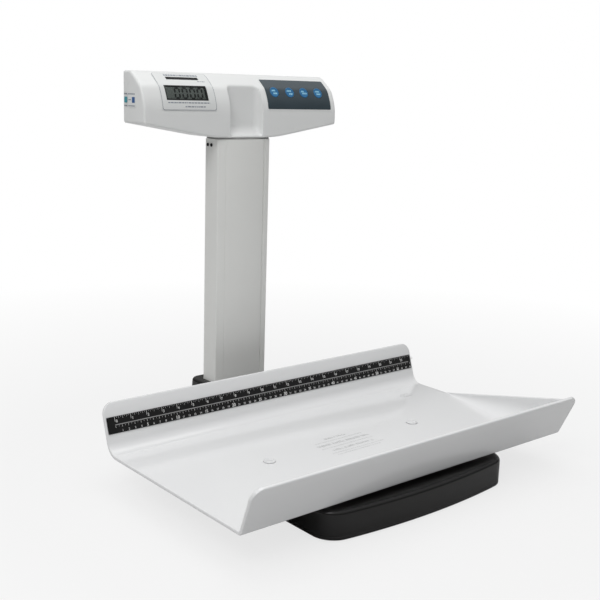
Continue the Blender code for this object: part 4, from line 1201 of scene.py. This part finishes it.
def keypad():
    left, right, low, high = KEYPAD_LOW.x, KEYPAD_HIGH.x, KEYPAD_BOTTOM, KEYPAD_TOP
    border = outline_band(left - 2, right + 2, low - 2, high + 1.6, 3, 2.2, 0.02, 0.45)
    piece("keypad_border", border, "head")
    overlay = film("keypad_film", left, right, low, high, 1.6, 0.25, FILM_FACE - 0.25, "keypad",
                   ["keypad_overlay"])
    cut(overlay, *key_bores(KEY_RADIUS + 0.35, 14, 48))
    for i, x in enumerate(KEY_XS, 1):
        key(i, x)


# the two strokes on each key: (start, end, height) from the key's middle
KEY_MARKS = {1: [(-6.2, 2.2, 2.6), (-2.4, 5.6, -2.2)], 2: [(-6.4, 3.2, 2.4), (-1.8, 5.2, -2.6)],
             3: [(-6.4, 0.8, 2.2), (-3.2, 6.0, -1.4)], 4: [(-5.6, 3.6, 2.4), (-3.2, 5.8, -2.0)]}


def key(index, x):
    """A round key: a shallow dished disc with a small pale mark."""
    top, radius = 0.9, KEY_RADIUS
    place = on_head(x, KEY_Z, 0.0)
    axis = (on_head(x, KEY_Z, 1) - place).normalized()
    profile = [(-1.6, radius - 0.2), (-1.4, radius), (0.35, radius), (0.62, radius - 0.12),
               (top - 0.05, radius - 0.45), (top, radius - 0.9), (top - 0.1, radius - 1.6),
               (top - 0.28, radius * 0.5), (top - 0.32, 0.8)]
    body = "key_%d" % index
    piece("key_cap_%d" % index, turned(place, axis, profile, 48), "key", [body], body=body, sharp=50)

    across = Vector((1, 0, 0))
    up = axis.cross(across)
    if up.z < 0:
        up.negate()
    rng = random.Random(index)
    marks = []
    for run, end, middle in KEY_MARKS[index]:
        while run < end:
            wide = min(rng.uniform(1.3, 2.6), end - run)
            corners = [(run, middle - 1.3), (run + wide, middle - 1.3), (run + wide, middle + 1.3),
                       (run, middle + 1.3)]
            marks.append(lofted([[place + across * a + up * b + axis * height for a, b in corners]
                                 for height in (top - 0.30, top - 0.18)]))
            run += wide + 0.6
    piece("key_mark_%d" % index, joined(marks), "key_mark", body=body)


def side_plate():
    """The small printed plate on the head's left end: two squares, a dash and rows of small print."""
    low, high = box_of("side_label")

    def bar(y0, y1, z0, z1):
        return block((low.x - 0.05, y0, z0), (low.x + 0.1, y1, z1))

    outline = rectangle(low.y, low.z, high.y, high.z, 1, 4)
    rings = [[(x, p.x, p.y) for p in inset(outline, d)]
             for x, d in ((high.x + 0.25, 0.0), (low.x + 0.1, 0.0), (low.x, 0.1))]
    piece("side_plate_film", lofted(rings), "head", ["side_label"])
    piece("side_mark_teal", bar(230.4, 238.4, 521.8, 530.2), "teal")
    piece("side_mark_navy", bar(208.6, 216.6, 521.8, 530.2), "navy")
    rng = random.Random(11)
    bars = [bar(219.6, 226.4, 525.4, 526.8)]
    for z, y, last in ((534.4, 208.6, 227.2), (517.4, 208.6, 227.2), (534.4, 230.2, 239),
                       (517.4, 230.2, 239)):
        while y < last:
            wide = min(rng.uniform(1.4, 3.4), last - y)
            bars.append(bar(y, y + wide, z - 0.9, z + 0.9))
            y += wide + 0.7
    piece("side_small_print", joined(bars), "print")


# ---- carried-over CAD nodes

CARRIED = {
    "steel": ["base_plate", "load_cell_lower_spacer", "load_cell_upper_spacer", "overload_stop_left",
              "overload_stop_right", "column_foot_bracket", "tray_screw_left", "tray_screw_right"],
    "aluminium": ["load_cell", "platform_spider", "head_bracket"],
    "rubber": ["tray_pad_front", "tray_pad_rear"],
    "board": ["main_board", "keypad_board"],
    "inlet": ["battery_box"],
    "battery": ["battery_1", "battery_2", "battery_3", "battery_4"],
    "cable": ["signal_cable"],
}


def carry_over():
    for finish, names in CARRIED.items():
        for name in names:
            for holder in frame["nodes"][name].material_slots:
                holder.material = MATS[finish]


# ---- camera, light and floor

def camera():
    """The viewpoint: from the left and a little above, rolled slightly, with a 59 mm lens."""
    azimuth, elevation, roll = math.radians(-40.055), math.radians(12.25), math.radians(1.77)
    level = math.cos(elevation)
    back = Vector((math.sin(azimuth) * level, -math.cos(azimuth) * level, math.sin(elevation)))
    right = Vector((math.cos(azimuth), math.sin(azimuth), 0))
    up = back.cross(right)
    turned_right = right * math.cos(roll) + up * math.sin(roll)
    turned_up = up * math.cos(roll) - right * math.sin(roll)
    data = bpy.data.cameras.new("camera")
    data.sensor_width = 36
    data.lens = 59.26
    data.shift_x = -1 / 600
    item = linked("camera", data)
    turn = Matrix((turned_right, turned_up, back)).transposed()
    item.matrix_world = Matrix.Translation((-0.9291, -1.0642, 0.5538)) @ turn.to_4x4()
    scene.camera = item


def lamp(name, place, target, size, power):
    data = bpy.data.lights.new(name, "AREA")
    data.shape = "DISK"
    data.size = size
    data.energy = power
    item = linked(name, data)
    item.location = place
    item.rotation_euler = (Vector(target) - Vector(place)).to_track_quat("-Z", "Y").to_euler()


SIDE_LIGHT = 0.12
TOP_LIGHT = 1.15


def world():
    """Soft studio light: bright overhead, dimmer round the sides; the camera sees plain white."""
    scene.world = bpy.data.worlds.new("studio")
    tree = new_tree(scene.world)
    back = tree.nodes["Background"]
    back.inputs["Color"].default_value = (1, 1, 1, 1)
    place = node(tree, "ShaderNodeTexCoord").outputs["Generated"]
    height = node(tree, "ShaderNodeSeparateXYZ", {"Vector": place}).outputs["Z"]
    glow = mapped(tree, height, SIDE_LIGHT, TOP_LIGHT, 0.2, 1.0)
    seen = node(tree, "ShaderNodeLightPath").outputs["Is Camera Ray"]
    pick = node(tree, "ShaderNodeMix", {0: seen, 2: glow, 3: 1.0}, data_type="FLOAT")
    fill(tree, back.inputs["Strength"], pick.outputs[0])


def floor():
    """A plain pale floor that fades into the white background and is clear from below."""
    bm = bmesh.new()
    bmesh.ops.create_circle(bm, cap_ends=True, radius=12, segments=96)
    mesh = bpy.data.meshes.new("studio_floor")
    bm.to_mesh(mesh)
    bm.free()
    item = linked("studio_floor", mesh)
    item.location.z = -0.3 * MM
    mat = bpy.data.materials.new("studio_floor")
    tree = new_tree(mat)
    shader = tree.nodes["Principled BSDF"]
    shader.inputs["Roughness"].default_value = 0.9
    shader.inputs["Base Color"].default_value = (0.60, 0.60, 0.60, 1)
    place = node(tree, "ShaderNodeTexCoord").outputs["Object"]
    length = node(tree, "ShaderNodeVectorMath", {0: place}, operation="LENGTH").outputs["Value"]
    fade = mapped(tree, length, 0.74, 1.0, 0.45, 1.4)
    ray = node(tree, "ShaderNodeLightPath").outputs["Is Camera Ray"]
    seen = node(tree, "ShaderNodeMath", {0: fade, 1: ray}, operation="MULTIPLY").outputs["Value"]
    bright = node(tree, "ShaderNodeEmission", {"Strength": 1.0}).outputs[0]
    above = node(tree, "ShaderNodeMixShader", {0: seen, 1: shader.outputs[0], 2: bright}).outputs[0]
    below = node(tree, "ShaderNodeBsdfTransparent").outputs[0]
    facing = node(tree, "ShaderNodeNewGeometry").outputs["Backfacing"]
    one_sided = node(tree, "ShaderNodeMixShader", {0: facing, 1: above, 2: below}).outputs[0]
    fill(tree, tree.nodes["Material Output"].inputs["Surface"], one_sided)
    mesh.materials.append(mat)


camera()
world()
floor()
lamp("key_light", (-1.7, -0.9, 2.1), (0, 0, 0.2), 1.3, 20)
lamp("top_light", (0.3, 0.1, 2.4), (0, 0, 0.1), 1.8, 10)

tray_pan()
ruler()
tray_caps()
floor_print()
base()
column()
screws()
feet()
head_front()
head_rear()
door()
inlet()
display()
keypad()
side_plate()
carry_over()
